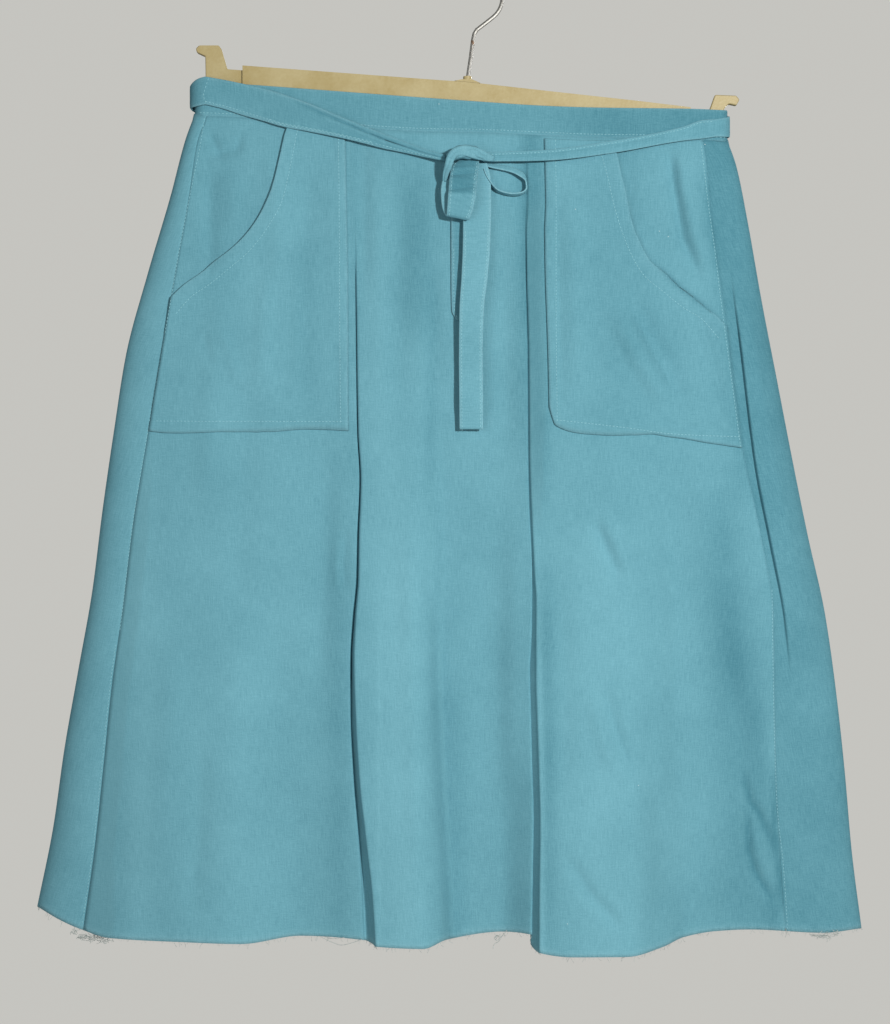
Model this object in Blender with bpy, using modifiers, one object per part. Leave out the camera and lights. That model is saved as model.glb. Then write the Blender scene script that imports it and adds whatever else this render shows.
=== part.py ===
# Wrap skirt on a hanger
#
# A back-wrapped A-line skirt hangs by its waistband on a telescoping hanger. The front panel has two
# deep flutes. Two patch pockets lie on it, and ties come round both sides to a bow in front.
# Sizes are in millimetres and become metres when a mesh is made. The origin is the top of the
# hook's inside, where a rod carries the hanger. Front is -Y, +Z is up.
# The outline sizes x and z hold on the plane y = 0, as someone VIEW_DISTANCE in front sees them,
# so on_sight_line draws each point to its true depth.

import math
from collections import namedtuple

import bmesh
import bpy
from mathutils import Vector

MM = 0.001
VIEW_DISTANCE = 1300.0
VIEW_X = -23.6
VIEW_Z = -404.0

CLOTH = 1.2
DOUBLED_CLOTH = 1.6
BAND_CLOTH = 2.0
SEAM_GAP = 0.4
SIDE_SEAM_GAP = 0.7
LAYER_GAP = 0.4

BAND_LEFT = -210.5
BAND_RIGHT = 187.5
BAND_DEPTH = 7.5
BAND_LAYER = BAND_CLOTH / 2 + LAYER_GAP + BAND_CLOTH / 2
TIE_LAYER = BAND_CLOTH / 2 + LAYER_GAP + DOUBLED_CLOTH / 2
OVERLAP = 75.0
BAND_STEP = 28.0
OVERLAP_RAMP_START = 0.04
OVERLAP_RAMP = 0.10
SLIT_X = -144.0
SLIT_WIDTH = 12.0
SLIT_MARGIN = 0.05
TIE_MARGIN = 2.5
TIE_CROSSING = 5.5

BACK_CURVE = 26.0
SIDE_FOLD_LIFT = 6.0
SIDE_FOLD_WIDTH = 6.0
FLUTE_WALLS = (0.3, 0.7)
BOW_CLOTH = 1.2

SLEEVE_THICKNESS = 9.0
ARM_THICKNESS = 5.0
ARM_PLAY = 0.35
WIRE = 3.0
HOOK_RADIUS = 19.5
COLLAR_RADIUS = 3.2
COLLAR_X = -6.8

# Waist line and band top: x across, height of the band's top, height of the waist seam
Waist = namedtuple("Waist", "x top seam")
WAIST = [
    Waist(-213, -80.5, -107.0), Waist(-170, -83.5, -108.8), Waist(-72, -90.8, -117.5),
    Waist(-35, -93.5, -119.3), Waist(0, -96.0, -119.8), Waist(51, -99.3, -122.0),
    Waist(89, -100.6, -123.5), Waist(158, -101.5, -124.4), Waist(190, -102.8, -126.5),
]

# Rows of the panels, as shares of the way from waist seam to hem, closer where the outline bends
PANEL_ROWS = [0.0, 0.03, 0.07, 0.12, 0.18, 0.24, 0.30, 0.36, 0.42, 0.48, 0.54, 0.60, 0.66, 0.72, 0.79,
              0.86, 0.93, 1.0]

# Skirt outline: v from waist seam to hem, the two side folds and the two side seams
Outline = namedtuple("Outline", "v left_end left_seam right_seam right_end")
OUTLINE = [
    Outline(0.00, -211.5, -202.5, 170.0, 188.3), Outline(0.03, -218.0, -209.5, 172.5, 194.5),
    Outline(0.10, -229.0, -216.0, 177.0, 203.0), Outline(0.20, -246.5, -227.0, 185.0, 213.5),
    Outline(0.30, -262.5, -237.5, 192.5, 225.0), Outline(0.40, -272.0, -247.5, 201.0, 236.5),
    Outline(0.50, -280.5, -257.5, 213.5, 248.5), Outline(0.60, -288.0, -264.5, 223.0, 261.5),
    Outline(0.70, -298.5, -271.0, 224.0, 270.0), Outline(0.80, -309.0, -277.5, 224.8, 276.5),
    Outline(0.90, -317.5, -284.0, 228.0, 281.7), Outline(1.00, -329.5, -292.0, 232.2, 289.2),
]

# Depths: front cloth without its waves, share of the hem's waves, middle of the sides, back cloth
Depth = namedtuple("Depth", "v front waves middle back")
DEPTHS = [
    Depth(0.00, -7.5, 0.00, 0.0, 7.5), Depth(0.10, -10.0, 0.03, 0.5, 9.0),
    Depth(0.30, -13.5, 0.15, 1.5, 12.0), Depth(0.60, -19.0, 0.50, 3.0, 15.0),
    Depth(1.00, -27.0, 1.00, 4.0, 18.0),
]

# Flutes: the two lips of each and how deep the cloth goes in behind the lower lip
Flute = namedtuple("Flute", "v left right depth")
LEFT_FLUTE = [
    Flute(0.00, -95.5, -91.0, 0.3), Flute(0.05, -95.0, -90.5, 1.5), Flute(0.16, -93.0, -88.5, 7.0),
    Flute(0.37, -91.2, -86.6, 10.0), Flute(0.43, -89.2, -84.6, 10.0), Flute(0.54, -90.4, -85.8, 10.0),
    Flute(0.60, -94.0, -89.4, 10.0), Flute(0.65, -95.6, -90.8, 10.0), Flute(0.72, -94.2, -89.2, 10.0),
    Flute(0.80, -92.2, -86.4, 10.0), Flute(0.87, -88.8, -81.6, 11.0), Flute(0.94, -86.0, -77.6, 12.0),
    Flute(1.00, -84.7, -75.5, 12.0),
]
RIGHT_FLUTE = [
    Flute(0.00, 37.0, 41.5, 0.3), Flute(0.08, 37.6, 42.2, 2.5), Flute(0.12, 36.5, 41.0, 5.0),
    Flute(0.17, 36.7, 41.2, 7.0), Flute(0.27, 38.2, 42.8, 9.0), Flute(0.40, 38.8, 43.4, 10.0),
    Flute(0.47, 39.5, 46.8, 10.0), Flute(0.54, 42.0, 47.8, 10.0), Flute(0.60, 41.5, 47.2, 10.0),
    Flute(0.67, 39.4, 46.0, 10.0), Flute(0.71, 40.6, 45.4, 10.0), Flute(0.78, 40.5, 46.4, 10.0),
    Flute(0.89, 41.3, 46.4, 9.0), Flute(1.00, 41.5, 47.2, 8.0),
]

# Waves at the hem, across each section of the front (f from its left to its right edge)
Wave = namedtuple("Wave", "f depth")
LEFT_WAVES = [
    Wave(0.00, -18), Wave(0.18, -30), Wave(0.49, -38), Wave(0.77, -20), Wave(1.00, -28),
]
CENTRE_WAVES = [
    Wave(0.00, -40), Wave(0.28, -43), Wave(0.42, -34), Wave(0.50, -18), Wave(0.80, -12), Wave(1.00, -16),
]
RIGHT_WAVES = [
    Wave(0.00, -46), Wave(0.15, -48), Wave(0.36, -48), Wave(0.50, -34), Wave(0.60, -20),
    Wave(0.80, -12), Wave(1.00, -13),
]
BACK_WAVES = [
    Wave(0.00, 0.0), Wave(0.22, 4.0), Wave(0.38, -1.5), Wave(0.60, 5.0), Wave(0.82, 0.5), Wave(1.00, 3.0),
]

# Hem as it is seen from the front, and the true height of the hidden back hem
Hem = namedtuple("Hem", "x height")
FRONT_HEM = [
    Hem(-329.5, -699.5), Hem(-312, -710.0), Hem(-295, -717.5), Hem(-275, -723.5), Hem(-222, -726.5),
    Hem(-177, -728.0), Hem(-132, -721.7), Hem(-84.7, -725.0), Hem(-75.5, -730.0), Hem(-40, -731.7),
    Hem(-22, -724.5), Hem(20, -718.6), Hem(41.5, -721.0), Hem(47.2, -734.7), Hem(73, -738.0),
    Hem(113, -737.7), Hem(140, -730.0), Hem(155, -722.8), Hem(180, -718.2), Hem(205, -717.0),
    Hem(260, -719.5), Hem(289.2, -716.0),
]
BACK_HEM = [
    Hem(-329.5, -699.5), Hem(-295, -708.0), Hem(-200, -712.0), Hem(0, -713.0), Hem(200, -713.0),
    Hem(289.2, -716.5),
]

# The right side's overlapping fold: where its lip runs, and how far it stands out
Fold = namedtuple("Fold", "v x lift")
SIDE_FOLD = [
    Fold(0.00, 180.0, 0.0), Fold(0.15, 190.0, 0.0), Fold(0.26, 198.4, 1.0), Fold(0.36, 205.5, 1.0),
    Fold(0.42, 210.5, 1.0), Fold(0.51, 221.0, 1.0), Fold(0.60, 231.0, 0.8), Fold(0.70, 237.0, 0.0),
    Fold(1.00, 252.0, 0.0),
]

# Pockets: upper and lower edge as shares of the skirt's length, across the section they lie on
Pocket = namedtuple("Pocket", "f upper lower")
LEFT_POCKET = [
    Pocket(0.006, 0.222, 0.386), Pocket(0.06, 0.206, 0.385), Pocket(0.145, 0.190, 0.384),
    Pocket(0.26, 0.167, 0.382), Pocket(0.347, 0.148, 0.380), Pocket(0.431, 0.122, 0.379),
    Pocket(0.500, 0.090, 0.378), Pocket(0.530, 0.062, 0.378), Pocket(0.555, 0.034, 0.377),
    Pocket(0.572, 0.004, 0.377), Pocket(0.70, 0.003, 0.376), Pocket(0.84, 0.003, 0.375),
    Pocket(0.97, 0.003, 0.374),
]
RIGHT_POCKET = [
    Pocket(0.075, 0.003, 0.330), Pocket(0.105, 0.003, 0.352), Pocket(0.22, 0.003, 0.361),
    Pocket(0.35, 0.003, 0.363), Pocket(0.470, 0.004, 0.366), Pocket(0.495, 0.032, 0.367),
    Pocket(0.522, 0.075, 0.368), Pocket(0.574, 0.122, 0.370), Pocket(0.647, 0.160, 0.375),
    Pocket(0.733, 0.180, 0.379), Pocket(0.828, 0.200, 0.384), Pocket(0.915, 0.214, 0.387),
    Pocket(0.994, 0.236, 0.389),
]
POCKET_GAPE = 1.6
POCKET_GAPE_SHARE = 0.35
POCKET_GAP = 0.7
POCKET_ROWS = [0.0, 0.04, 0.12, 0.25, 0.4, 0.6, 0.8, 1.0]

# Ties on the front, from the side fold to the knot: upper and lower edge and depth
Tie = namedtuple("Tie", "x upper lower depth")
LEFT_TIE = [
    Tie(-203, -78.0, -97.0, -9.9), Tie(-182, -80.2, -100.3, -9.9), Tie(-166, -83.7, -105.0, -10.6),
    Tie(-134.5, -96.5, -113.6, -12.8), Tie(-102.7, -110.7, -122.0, -14.0), Tie(-70.8, -122.0, -128.6, -15.0),
    Tie(-22.9, -135.6, -140.8, -17.5),
]
RIGHT_TIE = [
    Tie(180, -109.3, -122.6, -9.9), Tie(170, -110.3, -124.0, -9.9), Tie(154.6, -116.0, -125.8, -11.2),
    Tie(103.2, -126.5, -135.0, -13.8), Tie(51.5, -133.6, -140.7, -15.6), Tie(4.9, -135.6, -141.2, -17.5),
]

# Knot: sections across it
Knot = namedtuple("Knot", "x middle height depth")
KNOT = [
    Knot(-22.5, -137.4, 5.0, 6.0), Knot(-20, -136.8, 10.0, 11.0), Knot(-15, -135.4, 13.0, 14.0),
    Knot(-8, -134.4, 13.4, 14.4), Knot(-1, -134.8, 12.0, 13.0), Knot(3, -136.4, 8.6, 10.0),
    Knot(4.5, -137.6, 5.4, 6.0),
]
KNOT_DEPTH = -21.0

# Bow: strips as they run, with their two edges, height and distance in front of the panel
Strip = namedtuple("Strip", "left right z stand_off")
LOOP_LEFT = [
    Strip(-20.6, 0.5, -142.4, 6.4), Strip(-21.2, -1.2, -152, 6.2), Strip(-22.2, -3.6, -164, 5.6),
    Strip(-22.8, -5.2, -176, 5.4), Strip(-23.2, -5.8, -182, 6.2), Strip(-23.6, -6.0, -184.4, 8.4),
    Strip(-22.8, -5.4, -183.4, 10.8), Strip(-21.6, -3.4, -177, 12.2), Strip(-20.8, -1.4, -164, 12.4),
    Strip(-20.2, 0.2, -152, 12.8), Strip(-19.7, 1.0, -142.4, 12.6),
]
END_LONG = [
    Strip(-10.0, 10.0, -142.4, 4.0), Strip(-10.2, 10.8, -156, 3.9), Strip(-10.4, 11.0, -172, 3.9),
    Strip(-10.6, 10.6, -200, 3.9), Strip(-11.6, 8.6, -226, 3.9), Strip(-13.0, 5.6, -252, 3.9),
    Strip(-13.0, 4.8, -284, 3.9), Strip(-12.8, 5.0, -342, 3.9),
]
END_SHORT = [
    Strip(-14.0, 2.0, -142.4, 1.7), Strip(-17.0, 1.0, -160, 1.7), Strip(-19.0, 1.0, -190, 1.7),
    Strip(-19.0, 0.5, -225, 1.7), Strip(-18.6, 0.0, -252, 1.7), Strip(-15.0, -1.0, -260, 1.7),
]

# Right loop, edge on: the closed eye of its strip in the plane of the front
Eye = namedtuple("Eye", "x z")
LOOP_RIGHT = [
    Eye(5.8, -142.8), Eye(9.5, -145.2), Eye(18, -147.2), Eye(26, -149.2), Eye(32, -152.0), Eye(36.8, -156.0),
    Eye(37.6, -160.5), Eye(34, -164.0), Eye(27, -164.9), Eye(17, -162.6), Eye(10.8, -156.5), Eye(7.2, -150.5),
    Eye(5.6, -146.4),
]
LOOP_RIGHT_BACK = 5.8
LOOP_RIGHT_WIDTH = 13.0

# Hanger outlines in the plane of the front
SLEEVE_TOP = [(-175, -70.2), (-27, -81.2), (-14, -82.0), (1, -83.4), (40, -87.8), (120, -96.6),
              (160, -101.4)]
SLEEVE_HEIGHT = 20.0
SLEEVE_REACH = 20.0
SOCKET_SPARE = 3.0
LEFT_ARM = [
    (-156, -74.5), (-186.6, -72.4), (-190.9, -57.7), (-193, -54.6), (-207.8, -54.6), (-210.2, -57.0),
    (-209.4, -59.8), (-203.1, -62.7), (-202.8, -82.0), (-208.4, -86.0), (-208.4, -98.0), (-198, -98.0),
    (-186, -89.0), (-156, -87.5),
]
RIGHT_ARM = [
    (141, -102.5), (173.8, -104.9), (178.6, -91.6), (194.4, -92.2), (196.9, -95.2), (194.7, -99.4),
    (188.9, -98.2), (185.4, -102.0), (185.4, -121.0), (176, -121.0), (168, -118.0), (141, -114.5),
]
BOSS = [(-16.4, -81.3), (-10.5, -80.2), (-3.2, -80.4), (2.7, -83.0), (1.0, -83.05), (-14, -81.65)]
BOSS_THICKNESS = 7.0
COLLAR_TOP = -77.6
COLLAR_FOOT = -81.4
BORE_FOOT = -81.0


def along(rows, at, column):
    """Reads a column of a table between its rows, on a smooth line that never overshoots them."""
    keys = [row[0] for row in rows]
    values = [getattr(row, column) for row in rows]
    if at <= keys[0]:
        return values[0]
    if at >= keys[-1]:
        return values[-1]
    slopes = [(values[k + 1] - values[k]) / (keys[k + 1] - keys[k]) for k in range(len(keys) - 1)]
    bends = [slopes[0]]
    for before, after in zip(slopes, slopes[1:]):
        bends.append(2 * before * after / (before + after) if before * after > 0 else 0.0)
    bends.append(slopes[-1])
    k = max(i for i, key in enumerate(keys[:-1]) if key <= at)
    span = keys[k + 1] - keys[k]
    t = (at - keys[k]) / span
    rise = t * t * (3 - 2 * t)
    return (values[k] * (1 - rise) + values[k + 1] * rise
            + span * (bends[k] * t * (1 - t) ** 2 - bends[k + 1] * t * t * (1 - t)))


def mix(a, b, share):
    return a + (b - a) * share


def on_sight_line(x, z, y):
    """Draws a point of the outline from the plane y = 0 to its depth y."""
    nearer = 1 + y / VIEW_DISTANCE
    return Vector((VIEW_X + (x - VIEW_X) * nearer, y, VIEW_Z + (z - VIEW_Z) * nearer))


def round_end(share, power):
    """Depth of a rounded side fold, from 0 at its tip to 1 where it meets the flat cloth."""
    share = min(max(share, 0.0), 1.0)
    return (1 - (1 - share) ** power) ** (1 / power)


def front_depth(waves, f, v):
    flat = along(DEPTHS, v, "front")
    hem = DEPTHS[-1].front
    return flat + along(DEPTHS, v, "waves") * (along(waves, f, "depth") - hem)


def height(hem_rows, x_waist, x_hem, v):
    return mix(along(WAIST, x_waist, "seam") - SEAM_GAP, along(hem_rows, x_hem, "height"), v)


def edges(section, v):
    """Left and right edge of a section of the front panel."""
    if section == "left":
        return along(OUTLINE, v, "left_seam"), along(LEFT_FLUTE, v, "left")
    if section == "centre":
        return along(LEFT_FLUTE, v, "right"), along(RIGHT_FLUTE, v, "left")
    return along(RIGHT_FLUTE, v, "right"), along(OUTLINE, v, "right_seam")


WAVES = {"left": LEFT_WAVES, "centre": CENTRE_WAVES, "right": RIGHT_WAVES}


def front_point(section, f, v):
    """A point of the front panel."""
    x, x_waist, x_hem = (mix(*edges(section, row), f) for row in (v, 0.0, 1.0))
    y = front_depth(WAVES[section], f, v)
    return on_sight_line(x, height(FRONT_HEM, x_waist, x_hem, v), y)


def point_off_front(section, f, v, stand_off):
    """A point in front of the front panel, moved out square to it by stand_off."""
    step = 0.01
    across = front_point(section, min(f + step, 1), v) - front_point(section, max(f - step, 0), v)
    down = front_point(section, f, min(v + step, 1)) - front_point(section, f, max(v - step, 0))
    return front_point(section, f, v) + down.cross(across).normalized() * stand_off


def flute_point(flute, sections, wall, v):
    """A point at the bottom of a flute, wall from 0 at its left lip to 1 at its right lip."""
    x, x_waist, x_hem = (mix(along(flute, row, "left"), along(flute, row, "right"), wall)
                         for row in (v, 0.0, 1.0))
    lips = front_depth(WAVES[sections[0]], 1.0, v), front_depth(WAVES[sections[1]], 0.0, v)
    y = max(lips) + along(flute, v, "depth")
    return on_sight_line(x, height(FRONT_HEM, x_waist, x_hem, v), y)


def side_point(side, share, v):
    """A point between a side seam (share 0) and the tip of the side fold (share 1), on the front."""
    seam, tip = side + "_seam", side + "_end"
    gap = -SIDE_SEAM_GAP if side == "left" else SIDE_SEAM_GAP
    x, x_waist, x_hem = (mix(along(OUTLINE, row, seam) + gap, along(OUTLINE, row, tip), share)
                         for row in (v, 0.0, 1.0))
    at_seam = front_depth(WAVES[side], 0.0 if side == "left" else 1.0, v)
    middle = along(DEPTHS, v, "middle")
    y = mix(middle, at_seam, round_end(1 - share, 2.2))
    if side == "right":
        lip = along(SIDE_FOLD, v, "x")
        rise = min(max(0.5 + (x - lip) / SIDE_FOLD_WIDTH, 0.0), 1.0)
        towards_tip = min(1.0, (1 - share) / 0.4)
        y -= SIDE_FOLD_LIFT * along(SIDE_FOLD, v, "lift") * rise * towards_tip
    return on_sight_line(x, height(FRONT_HEM, x_waist, x_hem, v), y)


def back_point(x_share, v, layer=0.0):
    """A point of the back, x_share from 0 at the left side fold to 1 at the right one."""
    x, x_waist, x_hem = (mix(along(OUTLINE, row, "left_end"), along(OUTLINE, row, "right_end"), x_share)
                         for row in (v, 0.0, 1.0))
    width = along(OUTLINE, v, "right_end") - along(OUTLINE, v, "left_end")
    inset = min(x_share, 1 - x_share) * width
    curve = mix(BAND_DEPTH, BACK_CURVE, min(1.0, v / 0.5))
    middle = along(DEPTHS, v, "middle")
    wave = along(BACK_WAVES, x_share, "depth") * along(DEPTHS, v, "waves")
    y = mix(middle, along(DEPTHS, v, "back") + wave, round_end(inset / curve, 2.0)) + layer
    hem = along(BACK_HEM, x_hem, "height")
    return Vector((x, y, mix(along(WAIST, x_waist, "seam") - SEAM_GAP, hem, v)))


def new_material(name, colour, roughness, metallic=0.0):
    material = bpy.data.materials.new(name)
    material.use_nodes = True
    shader = material.node_tree.nodes["Principled BSDF"]
    shader.inputs["Base Color"].default_value = (*colour, 1.0)
    shader.inputs["Roughness"].default_value = roughness
    shader.inputs["Metallic"].default_value = metallic
    return material


def add_object(name, data, material, collection):
    part = bpy.data.objects.new(name, data)
    data.materials.append(material)
    collection.objects.link(part)
    return part


def mesh_from_grid(name, columns, holes=()):
    """A mesh from columns of points, top to bottom, without the cells named in holes."""
    mesh = bmesh.new()
    grid = [[mesh.verts.new(point * MM) for point in column] for column in columns]
    for c, (left, right) in enumerate(zip(grid, grid[1:])):
        for r in range(len(left) - 1):
            if (c, r) not in holes:
                mesh.faces.new((left[r], left[r + 1], right[r + 1], right[r]))
    data = bpy.data.meshes.new(name)
    mesh.to_mesh(data)
    mesh.free()
    return data


def add_cloth(name, columns, thickness, material, collection, holes=()):
    """A sheet of cloth, its wall half on each side of its points."""
    data = mesh_from_grid(name, columns, holes)
    data.shade_smooth()
    cloth = add_object(name, data, material, collection)
    wall = cloth.modifiers.new("Cloth wall", "SOLIDIFY")
    wall.thickness = thickness * MM
    wall.offset = 0.0
    wall.use_even_offset = True
    return cloth


def steps(first, last, count):
    return [mix(first, last, k / count) for k in range(count + 1)]


def add_front_panel(material, collection):
    rows = PANEL_ROWS
    columns = [[front_point("left", f, v) for v in rows] for f in steps(0.0, 1.0, 10)]
    columns += [[flute_point(LEFT_FLUTE, ("left", "centre"), wall, v) for v in rows]
                for wall in FLUTE_WALLS]
    centre = [0.0, 0.14, 0.28, 0.36, 0.42, 0.46, 0.5, 0.65, 0.8, 1.0]
    columns += [[front_point("centre", f, v) for v in rows] for f in centre]
    columns += [[flute_point(RIGHT_FLUTE, ("centre", "right"), wall, v) for v in rows]
                for wall in FLUTE_WALLS]
    columns += [[front_point("right", f, v) for v in rows] for f in steps(0.0, 1.0, 12)]
    return add_cloth("front_panel", columns, CLOTH, material, collection)


def back_columns(side, rows, free_share, layer):
    """Columns of a back panel, from its side seam round the side fold to its free edge."""
    if side == "left":
        seam_to_tip = [0.0, 0.3, 0.6, 0.82, 0.95]
        across = [0.0, 0.008, 0.02, 0.04, 0.07, 0.12] + steps(0.18, free_share, 9)
    else:
        seam_to_tip = [0.0, 0.2, 0.35, 0.5, 0.65, 0.8, 0.93]
        across = [1.0, 0.992, 0.98, 0.96, 0.93, 0.88] + steps(0.82, free_share, 9)
    columns = [[side_point(side, share, v) for v in rows] for share in seam_to_tip]
    for x_share in across:
        away = min(x_share, 1 - x_share)
        lift = layer * min(1.0, max(0.0, (away - OVERLAP_RAMP_START) / OVERLAP_RAMP))
        columns.append([back_point(x_share, v, lift) for v in rows])
    return columns if side == "left" else columns[::-1]


def add_back_panels(material, collection):
    rows = PANEL_ROWS
    width = BAND_RIGHT - BAND_LEFT
    over_edge = (OVERLAP - BAND_LEFT) / width
    under_edge = (-OVERLAP - BAND_LEFT) / width
    over = back_columns("left", rows, over_edge, BAND_LAYER)
    under = back_columns("right", rows, under_edge, 0.0)
    add_cloth("back_panel_over", over[::-1], CLOTH, material, collection)
    add_cloth("back_panel_under", under[::-1], CLOTH, material, collection)


def add_pocket(name, section, table, material, collection):
    """A patch on the panel: its mouth stands open a little, its other edges lie on the panel."""
    columns = []
    for row in table:
        in_waist_seam = row.upper < 0.01
        column = []
        for share in POCKET_ROWS:
            v = mix(row.upper, row.lower, share)
            gape = 0.0 if in_waist_seam else POCKET_GAPE * max(0.0, 1 - share / POCKET_GAPE_SHARE)
            column.append(point_off_front(section, row.f, v, CLOTH + POCKET_GAP + gape))
        columns.append(column)
    return add_cloth(name, columns, CLOTH, material, collection)


def band_edge(x, column):
    return along(WAIST, x, column)


def add_waistband(material, collection):
    """One strip from its under end at the back, round the right, front and left, to its over end."""
    inner_right = BAND_RIGHT - BAND_DEPTH
    inner_left = BAND_LEFT + BAND_DEPTH
    path = [(x, BAND_DEPTH) for x in steps(-OVERLAP, inner_right, 10)]
    for angle in steps(0, math.pi, 8)[1:-1]:
        path.append((inner_right + BAND_DEPTH * math.sin(angle), BAND_DEPTH * math.cos(angle)))
    path += [(x, -BAND_DEPTH) for x in steps(inner_right, inner_left, 18)]
    for angle in steps(0, math.pi, 8)[1:-1]:
        path.append((inner_left - BAND_DEPTH * math.sin(angle), -BAND_DEPTH * math.cos(angle)))
    path += [(inner_left, BAND_DEPTH), (inner_left + BAND_STEP / 2, BAND_DEPTH + BAND_LAYER / 2)]
    path += [(inner_left + BAND_STEP, BAND_DEPTH + BAND_LAYER)]
    slit_column = len(path)
    slit_end = SLIT_X + SLIT_WIDTH / 2
    path += [(SLIT_X - SLIT_WIDTH / 2, BAND_DEPTH + BAND_LAYER)]
    path += [(x, BAND_DEPTH + BAND_LAYER) for x in steps(slit_end, OVERLAP, 9)]
    shares = [0.0, SLIT_MARGIN, 1 - SLIT_MARGIN, 1.0]
    columns = []
    for x, y in path:
        column = [mix(band_edge(x, "top"), band_edge(x, "seam"), share) for share in shares]
        columns.append([on_sight_line(x, z, y) if y < 0 else Vector((x, y, z)) for z in column])
    return add_cloth("waistband", columns, BAND_CLOTH, material, collection, holes={(slit_column, 1)})


def tie_point_columns(path):
    """Columns of a tie from its path of x, y, upper and lower edge."""
    columns = []
    for x, y, upper, lower in path:
        heights = [upper, mix(upper, lower, 0.5), lower]
        columns.append([on_sight_line(x, z, y) if y < 0 else Vector((x, y, z)) for z in heights])
    return columns


def back_edges(x):
    return band_edge(x, "top") - TIE_MARGIN, band_edge(x, "seam") + TIE_MARGIN


def side_turn(x_inner, radius, direction, start, end):
    """The stretch of a tie round a side: direction 1 on the right, -1 on the left."""
    turn = []
    for angle in steps(0, math.pi, 8)[1:-1]:
        share = angle / math.pi
        turn.append((x_inner + direction * radius * math.sin(angle), radius * math.cos(angle),
                     mix(start[0], end[0], share), mix(start[1], end[1], share)))
    return turn


def front_run(table, first, last, count):
    return [(x, along(table, x, "depth"), along(table, x, "upper"), along(table, x, "lower"))
            for x in steps(first, last, count)]


def add_tie_right(material, collection):
    """From the over end of the band, round the right side to the knot."""
    inner = BAND_RIGHT - BAND_DEPTH
    outside = BAND_DEPTH + TIE_LAYER
    path = [(x, BAND_DEPTH + BAND_LAYER, *back_edges(x)) for x in steps(OVERLAP + SEAM_GAP, inner - 6, 6)]
    path.append((inner, outside, *back_edges(inner)))
    table = RIGHT_TIE
    path += side_turn(inner, outside, 1, back_edges(inner), (table[0].upper, table[0].lower))
    table = sorted(table)
    path += front_run(table, inner, table[0].x, 14)
    return add_cloth("tie_right", tie_point_columns(path), DOUBLED_CLOTH, material, collection)


def add_tie_left(material, collection):
    """From the under end of the band, out through the slit and round the left side to the knot."""
    inner = BAND_LEFT + BAND_DEPTH
    outside = BAND_DEPTH + TIE_LAYER
    over_band = BAND_DEPTH + BAND_LAYER + TIE_LAYER
    path = [(x, BAND_DEPTH, *back_edges(x)) for x in steps(-OVERLAP - SEAM_GAP, SLIT_X + TIE_CROSSING, 3)]
    path += [(SLIT_X, BAND_DEPTH + BAND_LAYER, *back_edges(SLIT_X))]
    path += [(x, over_band, *back_edges(x)) for x in steps(SLIT_X - TIE_CROSSING, inner + 0.8 * BAND_STEP, 2)]
    path += [(inner + 0.3 * BAND_STEP, mix(outside, over_band, 0.4), *back_edges(inner))]
    path += [(inner, outside, *back_edges(inner))]
    path += side_turn(inner, outside, -1, back_edges(inner), (LEFT_TIE[0].upper, LEFT_TIE[0].lower))
    path += front_run(LEFT_TIE, inner, LEFT_TIE[-1].x, 16)
    return add_cloth("tie_left", tie_point_columns(path), DOUBLED_CLOTH, material, collection)


def centre_face(z):
    """Depth of the centre of the front at a height."""
    waist, hem = along(WAIST, 0, "seam"), along(FRONT_HEM, 0, "height")
    return front_depth(CENTRE_WAVES, 0.6, (z - waist) / (hem - waist))


def add_strip(name, table, material, collection):
    columns = []
    for row in table:
        y = centre_face(row.z) - row.stand_off
        across = (row.left, mix(row.left, row.right, 0.5), row.right)
        columns.append([on_sight_line(x, row.z, y) for x in across])
    return add_cloth(name, columns, BOW_CLOTH, material, collection)


def add_loop_right(material, collection):
    columns = []
    for row in LOOP_RIGHT:
        back = centre_face(row.z) - LOOP_RIGHT_BACK
        columns.append([on_sight_line(row.x, row.z, back - LOOP_RIGHT_WIDTH * share) for share in (0, 0.5, 1)])
    return add_cloth("loop_right", columns, BOW_CLOTH, material, collection)


def add_knot(material, collection):
    sides = 12
    columns = []
    for row in KNOT:
        section = []
        for k in range(sides):
            angle = 2 * math.pi * k / sides
            section.append(on_sight_line(row.x, row.middle + row.height / 2 * math.cos(angle),
                                         KNOT_DEPTH + row.depth / 2 * math.sin(angle)))
        columns.append(section)
    mesh = bmesh.new()
    rings = [[mesh.verts.new(point * MM) for point in section] for section in columns]
    for left, right in zip(rings, rings[1:]):
        for k in range(sides):
            after = (k + 1) % sides
            mesh.faces.new((left[k], left[after], right[after], right[k]))
    mesh.faces.new(rings[0][::-1])
    mesh.faces.new(rings[-1])
    bmesh.ops.recalc_face_normals(mesh, faces=mesh.faces)
    data = bpy.data.meshes.new("tie_knot")
    mesh.to_mesh(data)
    mesh.free()
    data.shade_smooth()
    return add_object("tie_knot", data, material, collection)


def flat_outline(name, outline, thickness, material, collection):
    """A flat piece cut to an outline of x and z, centred on the plane y = 0."""
    curve = bpy.data.curves.new(name, "CURVE")
    curve.dimensions = "2D"
    curve.fill_mode = "BOTH"
    curve.extrude = thickness / 2 * MM
    spline = curve.splines.new("POLY")
    spline.points.add(len(outline) - 1)
    for point, (x, z) in zip(spline.points, outline):
        point.co = (x * MM, z * MM, 0.0, 1.0)
    spline.use_cyclic_u = True
    sketch = bpy.data.objects.new(name + "_outline", curve)
    collection.objects.link(sketch)
    sketch.rotation_euler = (math.pi / 2, 0.0, 0.0)
    bpy.context.view_layer.update()
    evaluated = sketch.evaluated_get(bpy.context.evaluated_depsgraph_get())
    data = bpy.data.meshes.new_from_object(evaluated)
    weld = bmesh.new()
    weld.from_mesh(data)
    bmesh.ops.remove_doubles(weld, verts=weld.verts, dist=0.00001)
    weld.to_mesh(data)
    weld.free()
    data.materials.clear()
    piece = add_object(name, data, material, collection)
    piece.matrix_world = sketch.matrix_world
    bpy.data.objects.remove(sketch)
    return piece


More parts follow.
